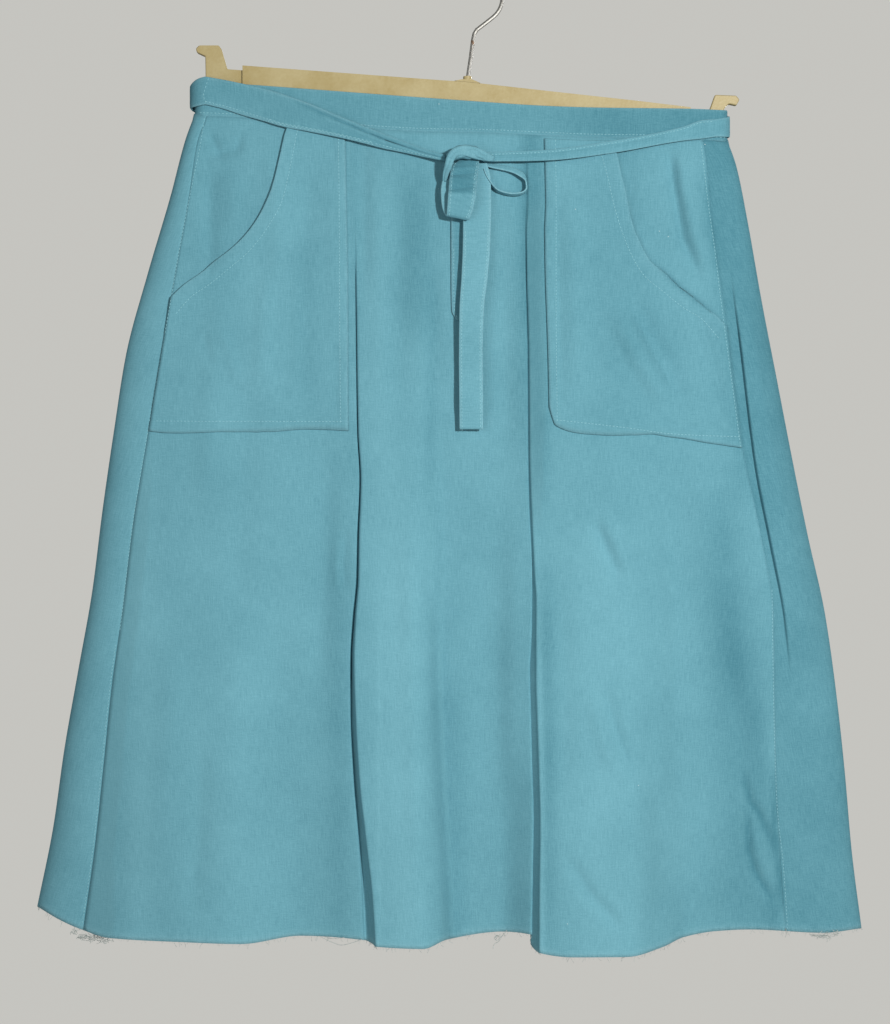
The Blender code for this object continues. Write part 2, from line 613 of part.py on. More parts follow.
def add_bevel(piece, width, segments=2):
    edge = piece.modifiers.new("Moulded edge", "BEVEL")
    edge.width = width * MM
    edge.segments = segments
    edge.limit_method = "ANGLE"
    edge.angle_limit = math.radians(40)


def combine(piece, guide, operation):
    guide.hide_render = True
    guide.display_type = "WIRE"
    joint = piece.modifiers.new(operation.title() + " " + guide.name, "BOOLEAN")
    joint.operation = operation
    joint.solver = "EXACT"
    joint.object = guide


def add_hanger(plastic, steel, collection, cutters):
    sleeve_outline = SLEEVE_TOP + [(x, z - SLEEVE_HEIGHT) for x, z in SLEEVE_TOP[::-1]]
    sleeve = flat_outline("hanger_sleeve", sleeve_outline, SLEEVE_THICKNESS, plastic, collection)
    add_bevel(sleeve, 1.4)
    for side, outline in (("left", LEFT_ARM), ("right", RIGHT_ARM)):
        arm = flat_outline("hanger_arm_" + side, outline, ARM_THICKNESS, plastic, collection)
        add_bevel(arm, 0.6, 1)
        first, second, before_last, last = outline[0], outline[1], outline[-2], outline[-1]
        inward = 1 if side == "left" else -1
        mouth = first[0] - inward * (SLEEVE_REACH + SOCKET_SPARE)
        socket_outline = []
        for near, far in ((first, second), (last, before_last)):
            slope = (far[1] - near[1]) / (far[0] - near[0])
            lift = ARM_PLAY if near is first else -ARM_PLAY
            start = near[0] + inward * ARM_PLAY
            pair = [(start, near[1] + slope * (start - near[0]) + lift),
                    (mouth, near[1] + slope * (mouth - near[0]) + lift)]
            socket_outline += pair if near is first else pair[::-1]
        socket = flat_outline("socket_" + side, socket_outline, ARM_THICKNESS + 2 * ARM_PLAY, plastic, cutters)
        combine(sleeve, socket, "DIFFERENCE")

    add_boss(plastic, collection, cutters)
    add_hook(steel, collection)


def upright_cylinder(name, radius, foot, top, collection):
    bpy.ops.mesh.primitive_cylinder_add(vertices=20, radius=radius * MM, depth=(top - foot) * MM,
                                        location=(COLLAR_X * MM, 0.0, (foot + top) / 2 * MM))
    cylinder = bpy.context.object
    cylinder.name = name
    for home in list(cylinder.users_collection):
        home.objects.unlink(cylinder)
    collection.objects.link(cylinder)
    return cylinder


def add_boss(plastic, collection, cutters):
    """The low saddle on the bar with its collar, and the bore that the wire stands in."""
    boss = flat_outline("hanger_boss", BOSS, BOSS_THICKNESS, plastic, collection)
    collar = upright_cylinder("collar", COLLAR_RADIUS, COLLAR_FOOT, COLLAR_TOP, cutters)
    combine(boss, collar, "UNION")
    bore = upright_cylinder("wire_bore", WIRE / 2 + ARM_PLAY, BORE_FOOT, COLLAR_TOP + 1, cutters)
    combine(boss, bore, "DIFFERENCE")


def hook_route():
    """The wire's middle line: up from the boss, out along a slant, round the open hook."""
    route = [(COLLAR_X, -80.6), (-6.3, -77.0), (-4.3, -63.5), (-2.6, -50.0), (-1.6, -45.4), (0.2, -42.4)]
    route += [(7.5, -36.8), (12.2, -33.1)]
    for degrees in steps(-40, 178, 22):
        angle = math.radians(degrees)
        route.append((HOOK_RADIUS * math.cos(angle), -18.0 + HOOK_RADIUS * math.sin(angle)))
    return route


def add_hook(steel, collection):
    curve = bpy.data.curves.new("hanger_hook", "CURVE")
    curve.dimensions = "3D"
    curve.bevel_depth = WIRE / 2 * MM
    curve.bevel_resolution = 2
    curve.use_fill_caps = True
    spline = curve.splines.new("POLY")
    route = hook_route()
    spline.points.add(len(route) - 1)
    for point, (x, z) in zip(spline.points, route):
        point.co = (x * MM, 0.0, z * MM, 1.0)
    return add_object("hanger_hook", curve, steel, collection)


def main():
    for old in list(bpy.data.objects):
        bpy.data.objects.remove(old)
    parts = bpy.data.collections.new("wrap_skirt_on_a_hanger")
    cutters = bpy.data.collections.new("cutters")
    bpy.context.scene.collection.children.link(parts)
    bpy.context.scene.collection.children.link(cutters)

    cotton = new_material("turquoise_cotton", (0.13, 0.40, 0.47), 0.9)
    plastic = new_material("ivory_plastic", (0.66, 0.52, 0.27), 0.4)
    steel = new_material("hook_steel", (0.35, 0.34, 0.32), 0.35, 1.0)

    add_front_panel(cotton, parts)
    add_back_panels(cotton, parts)
    add_pocket("pocket_left", "left", LEFT_POCKET, cotton, parts)
    add_pocket("pocket_right", "right", RIGHT_POCKET, cotton, parts)
    add_waistband(cotton, parts)
    add_tie_left(cotton, parts)
    add_tie_right(cotton, parts)
    add_knot(cotton, parts)
    add_strip("loop_left", LOOP_LEFT, cotton, parts)
    add_loop_right(cotton, parts)
    add_strip("tie_end_long", END_LONG, cotton, parts)
    add_strip("tie_end_short", END_SHORT, cotton, parts)
    add_hanger(plastic, steel, parts, cutters)


main()
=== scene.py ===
# %% [markdown]
# # A wrap skirt on a hanger
#
# A faded turquoise cotton skirt hangs by its waistband on a telescoping hanger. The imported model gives
# the frame: every solid is loaded in metres at its final place, with the rod's line at the origin,
# the front towards -Y and up along +Z. Each cell below dresses one part of it.

import math

import bmesh
import bpy
import numpy as np
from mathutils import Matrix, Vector
from mathutils.bvhtree import BVHTree


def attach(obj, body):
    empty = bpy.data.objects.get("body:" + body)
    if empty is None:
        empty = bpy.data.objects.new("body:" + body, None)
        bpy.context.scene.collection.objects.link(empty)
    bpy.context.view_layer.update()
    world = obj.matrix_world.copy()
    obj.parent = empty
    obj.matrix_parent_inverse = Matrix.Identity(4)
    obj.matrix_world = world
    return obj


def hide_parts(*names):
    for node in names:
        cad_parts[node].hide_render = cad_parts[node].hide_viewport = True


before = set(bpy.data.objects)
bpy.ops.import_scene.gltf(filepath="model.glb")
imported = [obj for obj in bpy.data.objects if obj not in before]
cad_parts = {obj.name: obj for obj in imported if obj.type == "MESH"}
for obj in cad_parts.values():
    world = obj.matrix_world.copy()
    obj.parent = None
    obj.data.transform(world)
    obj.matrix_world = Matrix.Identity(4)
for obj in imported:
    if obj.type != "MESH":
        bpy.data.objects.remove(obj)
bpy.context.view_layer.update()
MM = 0.001


def add_object(name, data):
    """A new object of the scene."""
    holder = bpy.data.objects.new(name, data)
    bpy.context.scene.collection.objects.link(holder)
    return holder


# %% [markdown]
# ## Camera
#
# The skirt was looked at squarely from about 1.3 m, a little left of the hook and at mid height. One
# pixel of an 890 pixel wide picture covers 0.75 mm at the hanger's plane, which settles the lens. The
# camera isn't turned or shifted, so that upright lines stay upright.

# %% Camera
VIEW_DISTANCE = 1300.0
VIEW_X = -23.6
VIEW_Z = -404.0
PICTURE_WIDTH = 667.5
SENSOR = 36.0

lens = bpy.data.cameras.new("Viewer")
lens.sensor_fit = "HORIZONTAL"
lens.sensor_width = SENSOR
lens.lens = SENSOR * VIEW_DISTANCE / PICTURE_WIDTH
lens.clip_start = 0.05
lens.clip_end = 20.0
viewer = add_object("Viewer", lens)
viewer.location = (VIEW_X * MM, -VIEW_DISTANCE * MM, VIEW_Z * MM)
viewer.rotation_euler = (math.pi / 2, 0.0, 0.0)
bpy.context.scene.camera = viewer
print("lens", round(lens.lens, 1), "mm")

# %% [markdown]
# ## Light and floor
#
# A small lamp stands to the right of the viewer, at the height of the upper skirt. It leaves narrow
# dark shadows to the left of the edges, which is what draws the ties and the pocket mouths. A large
# weak lamp on the left fills them, and one behind serves the views from there. The surrounding is
# brighter where the viewer sees it than where it lights the cloth, so that the creases keep depth.

# %% Light and floor
def add_lamp(name, place, aim, size, energy, colour):
    lamp = bpy.data.lights.new(name, "AREA")
    lamp.size = size
    lamp.energy = energy
    lamp.color = colour
    holder = add_object(name, lamp)
    holder.location = place
    holder.rotation_euler = (Vector(aim) - Vector(place)).to_track_quat("-Z", "Y").to_euler()


add_lamp("Key", (0.60, -1.38, -0.14), (-0.02, 0.0, -0.42), 0.09, 21.6, (1.0, 0.985, 0.96))
add_lamp("Fill", (-0.9, -1.4, -0.3), (0.0, 0.0, -0.4), 0.9, 6.0, (0.95, 0.98, 1.0))
add_lamp("Back", (0.9, 1.7, 0.5), (0.0, 0.0, -0.4), 1.0, 26.0, (1.0, 1.0, 1.0))

WORLD_COLOUR = (0.56, 0.555, 0.525, 1.0)
WORLD_ON_CLOTH, WORLD_SEEN = 0.38, 1.0
world = bpy.data.worlds.new("Pale surrounding")
bpy.context.scene.world = world
world.use_nodes = True
sky = world.node_tree
seen = sky.nodes.new("ShaderNodeLightPath")
shade = sky.nodes.new("ShaderNodeMix")
shade.data_type = "FLOAT"
shade.inputs["A"].default_value = WORLD_ON_CLOTH
shade.inputs["B"].default_value = WORLD_SEEN
sky.nodes["Background"].inputs["Color"].default_value = WORLD_COLOUR
sky.links.new(seen.outputs["Is Camera Ray"], shade.inputs["Factor"])
sky.links.new(shade.outputs["Result"], sky.nodes["Background"].inputs["Strength"])
bpy.context.scene.view_settings.view_transform = "Standard"

FLOOR_HEIGHT = -1.0
FLOOR_RADIUS = 0.45
disc = bmesh.new()
bmesh.ops.create_circle(disc, cap_ends=True, radius=FLOOR_RADIUS, segments=96)
floor_mesh = bpy.data.meshes.new("Floor")
disc.to_mesh(floor_mesh)
disc.free()
floor = add_object("Floor", floor_mesh)
floor.location = (0.0, 0.0, FLOOR_HEIGHT)
floor_finish = bpy.data.materials.new("Pale floor")
floor_finish.use_nodes = True
floor_shader = floor_finish.node_tree.nodes["Principled BSDF"]
floor_shader.inputs["Base Color"].default_value = (0.6, 0.59, 0.56, 1.0)
floor_shader.inputs["Roughness"].default_value = 0.8
floor_mesh.materials.append(floor_finish)
print("floor at", FLOOR_HEIGHT, "m")

# %% [markdown]
# ## The skirt's form in tables
#
# A garment's form is easiest to say in tables: how wide the cloth is at each height, how deep it lies,
# and where its folds run. The same numbers made the solids, so the cloth lies where they are. Heights
# and widths are in millimetres on the plane of the hanger, as the viewer sees them, and on_sight_line
# draws each point to its true depth. Between two rows, along() reads a smooth line that never
# overshoots them, because an overshoot would put a ripple into the hem.

# %% Tables of the form
def table(columns, *rows):
    return dict(zip(columns.split(), np.array(rows, float).T))


WAIST = table("x top seam", (-213, -80.5, -107.0), (-170, -83.5, -108.8), (-72, -90.8, -117.5),
              (-35, -93.5, -119.3), (0, -96.0, -119.8), (51, -99.3, -122.0), (89, -100.6, -123.5),
              (158, -101.5, -124.4), (190, -102.8, -126.5))
OUTLINE = table("v left_end left_seam right_seam right_end",
                (0.00, -211.5, -202.5, 170.0, 188.3), (0.03, -218.0, -209.5, 172.5, 194.5),
                (0.10, -229.0, -216.0, 177.0, 203.0), (0.20, -246.5, -227.0, 185.0, 213.5),
                (0.30, -262.5, -237.5, 192.5, 225.0), (0.40, -272.0, -247.5, 201.0, 236.5),
                (0.50, -280.5, -257.5, 213.5, 248.5), (0.60, -288.0, -265.0, 223.0, 261.5),
                (0.70, -298.5, -273.5, 224.0, 270.0), (0.80, -309.0, -279.8, 224.8, 276.5),
                (0.90, -317.5, -286.4, 228.0, 281.7), (1.00, -329.5, -295.0, 232.2, 289.2))
DEPTHS = table("v front waves middle back", (0.00, -7.5, 0.00, 0.0, 7.5), (0.10, -10.0, 0.03, 0.5, 9.0),
               (0.30, -13.5, 0.15, 1.5, 12.0), (0.60, -19.0, 0.50, 3.0, 15.0),
               (1.00, -27.0, 1.00, 4.0, 18.0))
LEFT_FLUTE = table("v left right depth",
                   (0.00, -94.0, -92.4, 0.0), (0.10, -92.7, -91.1, 0.0), (0.16, -91.6, -90.0, 0.6),
                   (0.22, -91.0, -89.6, 3.0), (0.37, -89.7, -88.2, 3.4), (0.43, -87.7, -86.2, 3.4),
                   (0.50, -89.1, -87.6, 3.4), (0.55, -89.5, -88.0, 3.4), (0.60, -92.2, -90.4, 3.6),
                   (0.65, -94.4, -91.6, 4.0), (0.72, -94.6, -90.4, 4.4), (0.80, -92.2, -87.4, 5.0),
                   (0.87, -88.8, -82.6, 5.2), (0.94, -86.0, -77.8, 4.8), (1.00, -84.7, -75.5, 4.4))
RIGHT_FLUTE = table("v left right depth",
                    (0.00, 37.0, 38.6, 0.0), (0.08, 37.6, 39.2, 0.0), (0.12, 36.5, 38.1, 0.2),
                    (0.17, 36.7, 38.2, 1.8), (0.22, 37.5, 39.0, 3.2), (0.27, 38.2, 39.7, 3.4),
                    (0.40, 38.8, 40.4, 3.4), (0.47, 39.6, 42.0, 3.0), (0.54, 42.0, 44.0, 2.4),
                    (0.57, 41.7, 45.0, 2.8), (0.62, 41.4, 44.8, 3.0), (0.67, 40.0, 44.8, 3.4),
                    (0.71, 40.6, 45.6, 3.6), (0.78, 41.6, 47.0, 4.0), (0.85, 42.8, 48.0, 4.6),
                    (0.92, 42.2, 47.4, 5.4), (1.00, 41.5, 47.2, 5.4))
WAVES = {
    "left": table("f depth", (0.00, -18), (0.18, -30), (0.49, -38), (0.77, -20), (1.00, -28)),
    "centre": table("f depth", (0.00, -40), (0.28, -43), (0.42, -34), (0.50, -18), (0.80, -20),
                    (1.00, -35)),
    "right": table("f depth", (0.00, -46), (0.15, -48), (0.36, -48), (0.50, -34), (0.60, -20),
                   (0.80, -12), (1.00, -13)),
}
BACK_WAVES = table("f depth", (0.00, 0.0), (0.22, 4.0), (0.38, -1.5), (0.60, 5.0), (0.82, 0.5), (1.00, 3.0))
FRONT_HEM = table("x height", (-329.5, -699.5), (-312, -710.0), (-295, -717.5), (-275, -723.5),
                  (-222, -726.5), (-177, -728.0), (-132, -721.7), (-84.7, -725.0), (-75.5, -730.0),
                  (-40, -731.7), (-22, -724.5), (20, -718.6), (41.5, -721.0), (47.2, -734.7),
                  (73, -738.0), (113, -737.7), (140, -730.0), (155, -722.8), (180, -718.2),
                  (205, -717.0), (260, -719.5), (289.2, -716.0))
BACK_HEM = table("x height", (-329.5, -699.5), (-295, -708.0), (-200, -712.0), (0, -713.0), (200, -713.0),
                 (289.2, -716.5))
SIDE_FOLD = table("v x lift", (0.00, 180.0, 0.0), (0.15, 190.0, 0.0), (0.21, 194.4, 0.5), (0.26, 198.4, 1.0),
                  (0.36, 205.5, 1.0), (0.42, 210.5, 1.0), (0.51, 221.0, 1.0), (0.60, 231.0, 0.8),
                  (0.70, 237.0, 0.0), (1.00, 252.0, 0.0))
LEFT_POCKET = table("f upper lower", (0.006, 0.222, 0.386), (0.059, 0.206, 0.385), (0.144, 0.190, 0.384),
                    (0.257, 0.167, 0.382), (0.343, 0.148, 0.380), (0.427, 0.122, 0.379),
                    (0.495, 0.090, 0.378), (0.525, 0.062, 0.378), (0.549, 0.034, 0.377),
                    (0.566, 0.004, 0.377), (0.693, 0.003, 0.376), (0.831, 0.003, 0.375),
                    (0.960, 0.003, 0.374))
RIGHT_POCKET = table("f upper lower", (0.093, 0.003, 0.330), (0.122, 0.003, 0.352), (0.235, 0.003, 0.361),
                     (0.362, 0.003, 0.363), (0.480, 0.004, 0.366), (0.505, 0.032, 0.367),
                     (0.531, 0.075, 0.368), (0.582, 0.122, 0.370), (0.654, 0.160, 0.375),
                     (0.738, 0.180, 0.379), (0.831, 0.200, 0.384), (0.917, 0.214, 0.387),
                     (0.994, 0.236, 0.389))


def along(rows, at, column):
    """Reads a column of a table between its rows, on a smooth line that never overshoots them."""
    keys = next(iter(rows.values()))
    values = rows[column]
    slopes = np.diff(values) / np.diff(keys)
    bends = np.empty_like(values)
    bends[0], bends[-1] = slopes[0], slopes[-1]
    product, total = slopes[:-1] * slopes[1:], slopes[:-1] + slopes[1:]
    bends[1:-1] = np.where(product > 0, 2 * product / np.where(product > 0, total, 1.0), 0.0)
    at = np.clip(np.asarray(at, float), keys[0], keys[-1])
    k = np.clip(np.searchsorted(keys, at, side="right") - 1, 0, len(keys) - 2)
    span = np.diff(keys)[k]
    t = (at - keys[k]) / span
    rise = t * t * (3 - 2 * t)
    return (values[k] * (1 - rise) + values[k + 1] * rise
            + span * (bends[k] * t * (1 - t) ** 2 - bends[k + 1] * t * t * (1 - t)))


def mix(a, b, share):
    return a + (b - a) * share


def on_sight_line(x, z, y):
    """Draws points of the outline from the plane y = 0 to their depths y."""
    nearer = 1 + y / VIEW_DISTANCE
    return np.stack([VIEW_X + (x - VIEW_X) * nearer, y + 0 * x, VIEW_Z + (z - VIEW_Z) * nearer], axis=-1)


print("left flute at half height:", float(along(LEFT_FLUTE, 0.5, "left")), "mm")

# %% [markdown]
# ## Creases placed one by one
#
# Cloth that hangs from a band has few creases, and their places are uneven, so a noise pattern would
# look wrong. Each crease here is a short path with a width and a height, a ridge where the height is
# positive and a trough where it isn't. press() adds them to a sheet's depths as soft swells that fade
# out at both ends. A very low ripple keeps the flat parts from looking like a board.

# %% Creases
def smooth_step(value, low, high):
    t = np.clip((value - low) / (high - low), 0.0, 1.0)
    return t * t * (3 - 2 * t)


def nearest_on(x, z, path):
    """Distance of points from a path, and where along it each is nearest, from 0 to 1."""
    points = np.array(path, float)
    lengths = np.hypot(*np.diff(points, axis=0).T)
    nearest = np.full(x.shape, np.inf)
    place = np.zeros_like(x)
    done = 0.0
    for (ax, az), (bx, bz), length in zip(points, points[1:], lengths):
        share = ((x - ax) * (bx - ax) + (z - az) * (bz - az)) / length ** 2
        share = np.clip(share, 0.0, 1.0)
        away = np.hypot(x - mix(ax, bx, share), z - mix(az, bz, share))
        closer = away < nearest
        nearest = np.where(closer, away, nearest)
        place = np.where(closer, (done + share * length) / lengths.sum(), place)
        done += length
    return nearest, place


def press(x, z, creases):
    """Height of the creases at points of the outline, in millimetres towards the viewer."""
    rise = np.zeros_like(x)
    for path, width, height in creases:
        nearest, place = nearest_on(x, z, path)
        fade = smooth_step(place, 0.0, 0.3) * (1 - smooth_step(place, 0.7, 1.0))
        rise += height * np.exp(-(nearest / width) ** 2) * fade
    return rise


def ripple(x, z, height):
    """A low unevenness of the whole cloth."""
    return height * (np.sin(x / 23 + 1.7 * np.sin(z / 61)) * np.sin(z / 47 + 0.8 * np.sin(x / 39))
                     + 0.5 * np.sin(x / 11 + z / 83 + 2.0) * np.sin(z / 29 + x / 71))


# The dents of the left part, from the waist down
LEFT_CREASES = [
    ([(-206, -112), (-193, -134.7), (-179.2, -131.3), (-175, -114)], 3.2, -1.5),
    ([(-209, -138), (-193, -136), (-186, -139)], 3.0, -0.9),
    ([(-199, -136), (-200, -190), (-199, -238)], 6.0, -1.2),
    ([(-184, -142), (-182, -168), (-183, -200)], 8.0, 1.0),
    ([(-155, -118), (-150, -170), (-146, -250)], 8.0, 0.9),
    ([(-128, -120), (-126, -200), (-122, -330)], 9.0, -1.0),
    ([(-107, -122), (-106, -190), (-104, -300)], 6.0, 0.8),
    ([(-188, -200), (-196, -300), (-205, -420)], 10.0, 0.9),
    ([(-170, -280), (-172, -380), (-180, -520)], 12.0, -1.2),
    ([(-140, -330), (-138, -470), (-136, -640)], 14.0, 1.3),
    ([(-112, -340), (-113, -430), (-118, -560)], 8.0, -1.0),
    ([(-97, -412), (-100, -440), (-99, -468)], 2.6, -0.9),
    ([(-103, -420), (-105, -445), (-104, -465)], 2.6, 0.7),
    ([(-225, -480), (-232, -580), (-240, -690)], 12.0, 1.0),
    ([(-205, -560), (-208, -640), (-214, -720)], 8.0, -1.1),
    ([(-165, -560), (-160, -640), (-158, -715)], 10.0, -1.0),
]
# The middle between the flutes, with its long soft break
CENTRE_CREASES = [
    ([(-41, -378), (-36, -440), (-31, -484), (-26, -560), (-25, -640), (-23, -715)], 5.0, -1.3),
    ([(-52, -400), (-47, -480), (-42, -580), (-40, -690)], 9.0, 1.6),
    ([(-74, -130), (-74, -230), (-70, -360)], 9.0, 0.9),
    ([(-56, -140), (-58, -220), (-58, -330)], 8.0, -0.9), ([(18, -135), (22, -230), (24, -380)], 7.0, -0.9),
    ([(-38, -195), (-32, -235), (-33, -290), (-34, -345), (-36, -420)], 5.0, -1.3),
    ([(28, -380), (27, -500), (26, -640)], 8.0, 1.0),
    ([(36, -60), (32, -130), (34, -190), (34, -260)], 6.0, -1.2),
    ([(-84, -60), (-85, -130), (-84, -260)], 6.0, -1.2), ([(4, -400), (8, -500), (8, -660)], 12.0, -1.1),
    ([(52, -522), (55, -555), (58, -589)], 4.0, 1.0),
]
# The right part, over the hip and down to the hem
RIGHT_CREASES = [
    ([(86, -407), (97, -432), (111, -463)], 4.5, -1.5), ([(94, -400), (106, -428), (118, -452)], 5.0, 1.1),
    ([(94, -533), (104, -568), (118, -603)], 5.0, -1.5), ([(84, -530), (94, -570), (106, -606)], 6.0, 1.1),
    ([(65, -657), (84, -690), (113, -722)], 5.0, -1.6),
    ([(198, -590), (202, -609), (205.5, -621.5), (211, -628), (216, -640), (220, -650),
      (222, -672)], 3.0, -1.6),
    ([(203, -615), (203.6, -635), (204, -657), (207.4, -671), (214, -683), (220, -691.5),
      (226, -702)], 2.6, -2.0),
    ([(209, -640), (212, -658), (219, -676)], 4.5, 0.9),
    ([(246, -545), (254, -566), (262, -588)], 4.0, -1.4),
    ([(143, -112), (146, -150), (154, -199), (172, -240)], 4.5, -2.4),
    ([(152, -118), (156, -160), (166, -200), (178, -232)], 5.5, 1.6),
    ([(128, -214), (150, -236), (182, -260)], 2.2, -1.6),
    ([(113, -138), (115, -192), (120, -205)], 5.0, -1.0),
    ([(100, -245), (121, -284), (146, -330)], 9.0, 1.8),
    ([(112, -240), (134, -284), (158, -326)], 8.0, -1.3), ([(70, -150), (74, -260), (76, -340)], 10.0, 0.8),
    ([(160, -345), (176, -430), (190, -540)], 12.0, 1.3),
    ([(140, -360), (150, -450), (160, -560)], 11.0, -1.2),
    ([(180, -470), (196, -560), (204, -620)], 7.0, -1.0), ([(60, -430), (66, -520), (66, -640)], 8.0, -1.0),
    ([(134, -600), (140, -660), (141, -722)], 8.0, -1.4),
    ([(171, -620), (176, -670), (178, -712)], 7.0, 1.0),
]
# The creases of the front stand this much higher than their rows say
CREASE_RELIEF = 1.5
CREASES = {"left": LEFT_CREASES, "centre": CENTRE_CREASES, "right": RIGHT_CREASES}

# Painted shade and painted light, in strokes like those of the creases, along folds, lips and sides:
# darker where the amount is negative, lighter where it is positive
PAINTED_SHADING_STROKES = [
    ([(-62, -330), (-60, -560), (-46, -860)], 20.0, 0.22),
    ([(-77, -170), (-75, -300), (-66, -430)], 10.0, 0.10),
    ([(-50, -110), (-46, -170), (-44, -290)], 15.0, -0.22),
    ([(8, -300), (10, -500), (10, -860)], 22.0, 0.03),
    ([(-18, -470), (-15, -600), (-12, -860)], 8.0, -0.10),
    ([(88, -350), (94, -520), (98, -860)], 28.0, 0.14),
    ([(172, -380), (196, -560), (208, -860)], 22.0, -0.22),
    ([(182, -60), (192, -240), (204, -440)], 17.0, -0.20),
    ([(171, -120), (177, -175), (184, -212), (193, -242), (199, -275), (203, -310),
      (208, -400)], 7.0, -0.34),
    ([(-170, -370), (-176, -560), (-180, -860)], 48.0, 0.08),
    ([(-202, -70), (-192, -170), (-188, -270)], 20.0, -0.06),
    ([(-105, -340), (-104, -560), (-100, -860)], 8.0, -0.12),
    ([(52, -400), (54, -560), (54, -760)], 7.0, -0.22),
    ([(178, -375), (188, -470), (202, -570)], 15.0, -0.20),
    ([(236, -400), (252, -500), (266, -600)], 9.0, 0.16),
    ([(222, -505), (237, -560), (252, -620)], 8.0, -0.14),
    ([(-129, -170), (-128, -240), (-128, -350)], 11.0, -0.10),
    ([(-167, -190), (-167, -260), (-166, -330)], 12.0, 0.08),
    ([(128, -214), (150, -236), (182, -260)], 3.0, -0.25),
    ([(39, -60), (38, -150), (40, -330)], 6.0, -0.18), ([(-91, -60), (-91, -150), (-90, -330)], 5.0, -0.12),
    ([(46, -60), (45, -220), (47, -440)], 8.0, -0.36),
    ([(-38, -195), (-32, -235), (-33, -290), (-36, -420)], 5.0, -0.14),
    ([(31, -90), (32, -200), (33, -380)], 6.0, -0.12),
    ([(110, -60), (112, -240), (120, -420)], 40.0, -0.14),
    ([(-245, -330), (-250, -560), (-256, -860)], 13.0, 0.15),
    ([(46, -430), (49, -600), (49.5, -860)], 2.2, 0.20),
    ([(-72, -430), (-73, -600), (-72, -860)], 2.0, 0.12),
    ([(198, -590), (202, -609), (205.5, -621.5), (211, -628), (216, -640), (220, -650),
      (222, -672)], 2.4, -0.28),
    ([(223, -585), (224, -615), (224.4, -628), (223, -640), (225.4, -657), (229, -680),
      (231, -715)], 3.2, -0.40),
    ([(203, -615), (203.6, -635), (204, -657), (207.4, -671), (214, -683), (220, -691.5),
      (226, -702)], 2.0, -0.30),
    ([(226, -672), (222, -705), (221, -780)], 8.0, -0.24),
    ([(208, -520), (214, -600), (216, -660)], 8.0, -0.14),
]
print("creases:", {part: len(rows) for part, rows in CREASES.items()}, "and", len(PAINTED_SHADING_STROKES), "painted_shading")

# %% [markdown]
# ## Cloth as a thin shell
#
# Every piece of cloth here is a grid of points given its two faces. The front face is the grid moved
# out along its normals by half the wall, the back face is moved in, and a rim joins them, so that each
# piece is closed. This is what the Solidify modifier does, but by hand the wall may thin towards a
# stitched edge and thicken over a seam. The UV map holds true lengths in metres along and across
# the cloth, so the weave keeps its size wherever the piece goes. Three values ride on the points:
# under, where a seam allowance lies behind and greys the cloth, worn, where an edge has rubbed pale,
# and tone, which is mostly painted shade and painted light, with some even shifts of a piece's colour.

# %% The shell maker
CLOTH_WALL = 0.9
SEAM_GAP = 0.4


def normals_of(grid):
    across = np.gradient(grid, axis=0)
    down = np.gradient(grid, axis=1)
    normal = np.cross(down, across)
    return normal / np.maximum(np.linalg.norm(normal, axis=2, keepdims=True), 1e-9)


def lengths_from(grid, column):
    """True lengths across from a column and down from the top, in metres, for the UV map."""
    across = np.linalg.norm(np.diff(grid, axis=0), axis=2)
    u = np.vstack([np.zeros(grid.shape[1]), np.cumsum(across, axis=0)])
    down = np.linalg.norm(np.diff(grid, axis=1), axis=2)
    v = np.hstack([np.zeros((grid.shape[0], 1)), np.cumsum(down, axis=1)])
    return (u - u[column]) * MM, -v * MM


def add_points(piece_mesh, name, values):
    layer = piece_mesh.attributes.new(name, "FLOAT", "POINT")
    layer.data.foreach_set("value", np.ascontiguousarray(values, dtype=np.float32).ravel())


def corner_points(mesh):
    """The point on which each corner of each face stands."""
    corners = np.empty(len(mesh.loops), dtype=np.int32)
    mesh.loops.foreach_get("vertex_index", corners)
    return corners


def lay_weave(mesh, places):
    """Gives each point its place on the cloth, in metres, through the UV map."""
    layer = mesh.uv_layers.new(name="Cloth")
    layer.data.foreach_set("uv", places[corner_points(mesh)].astype(np.float32).ravel())


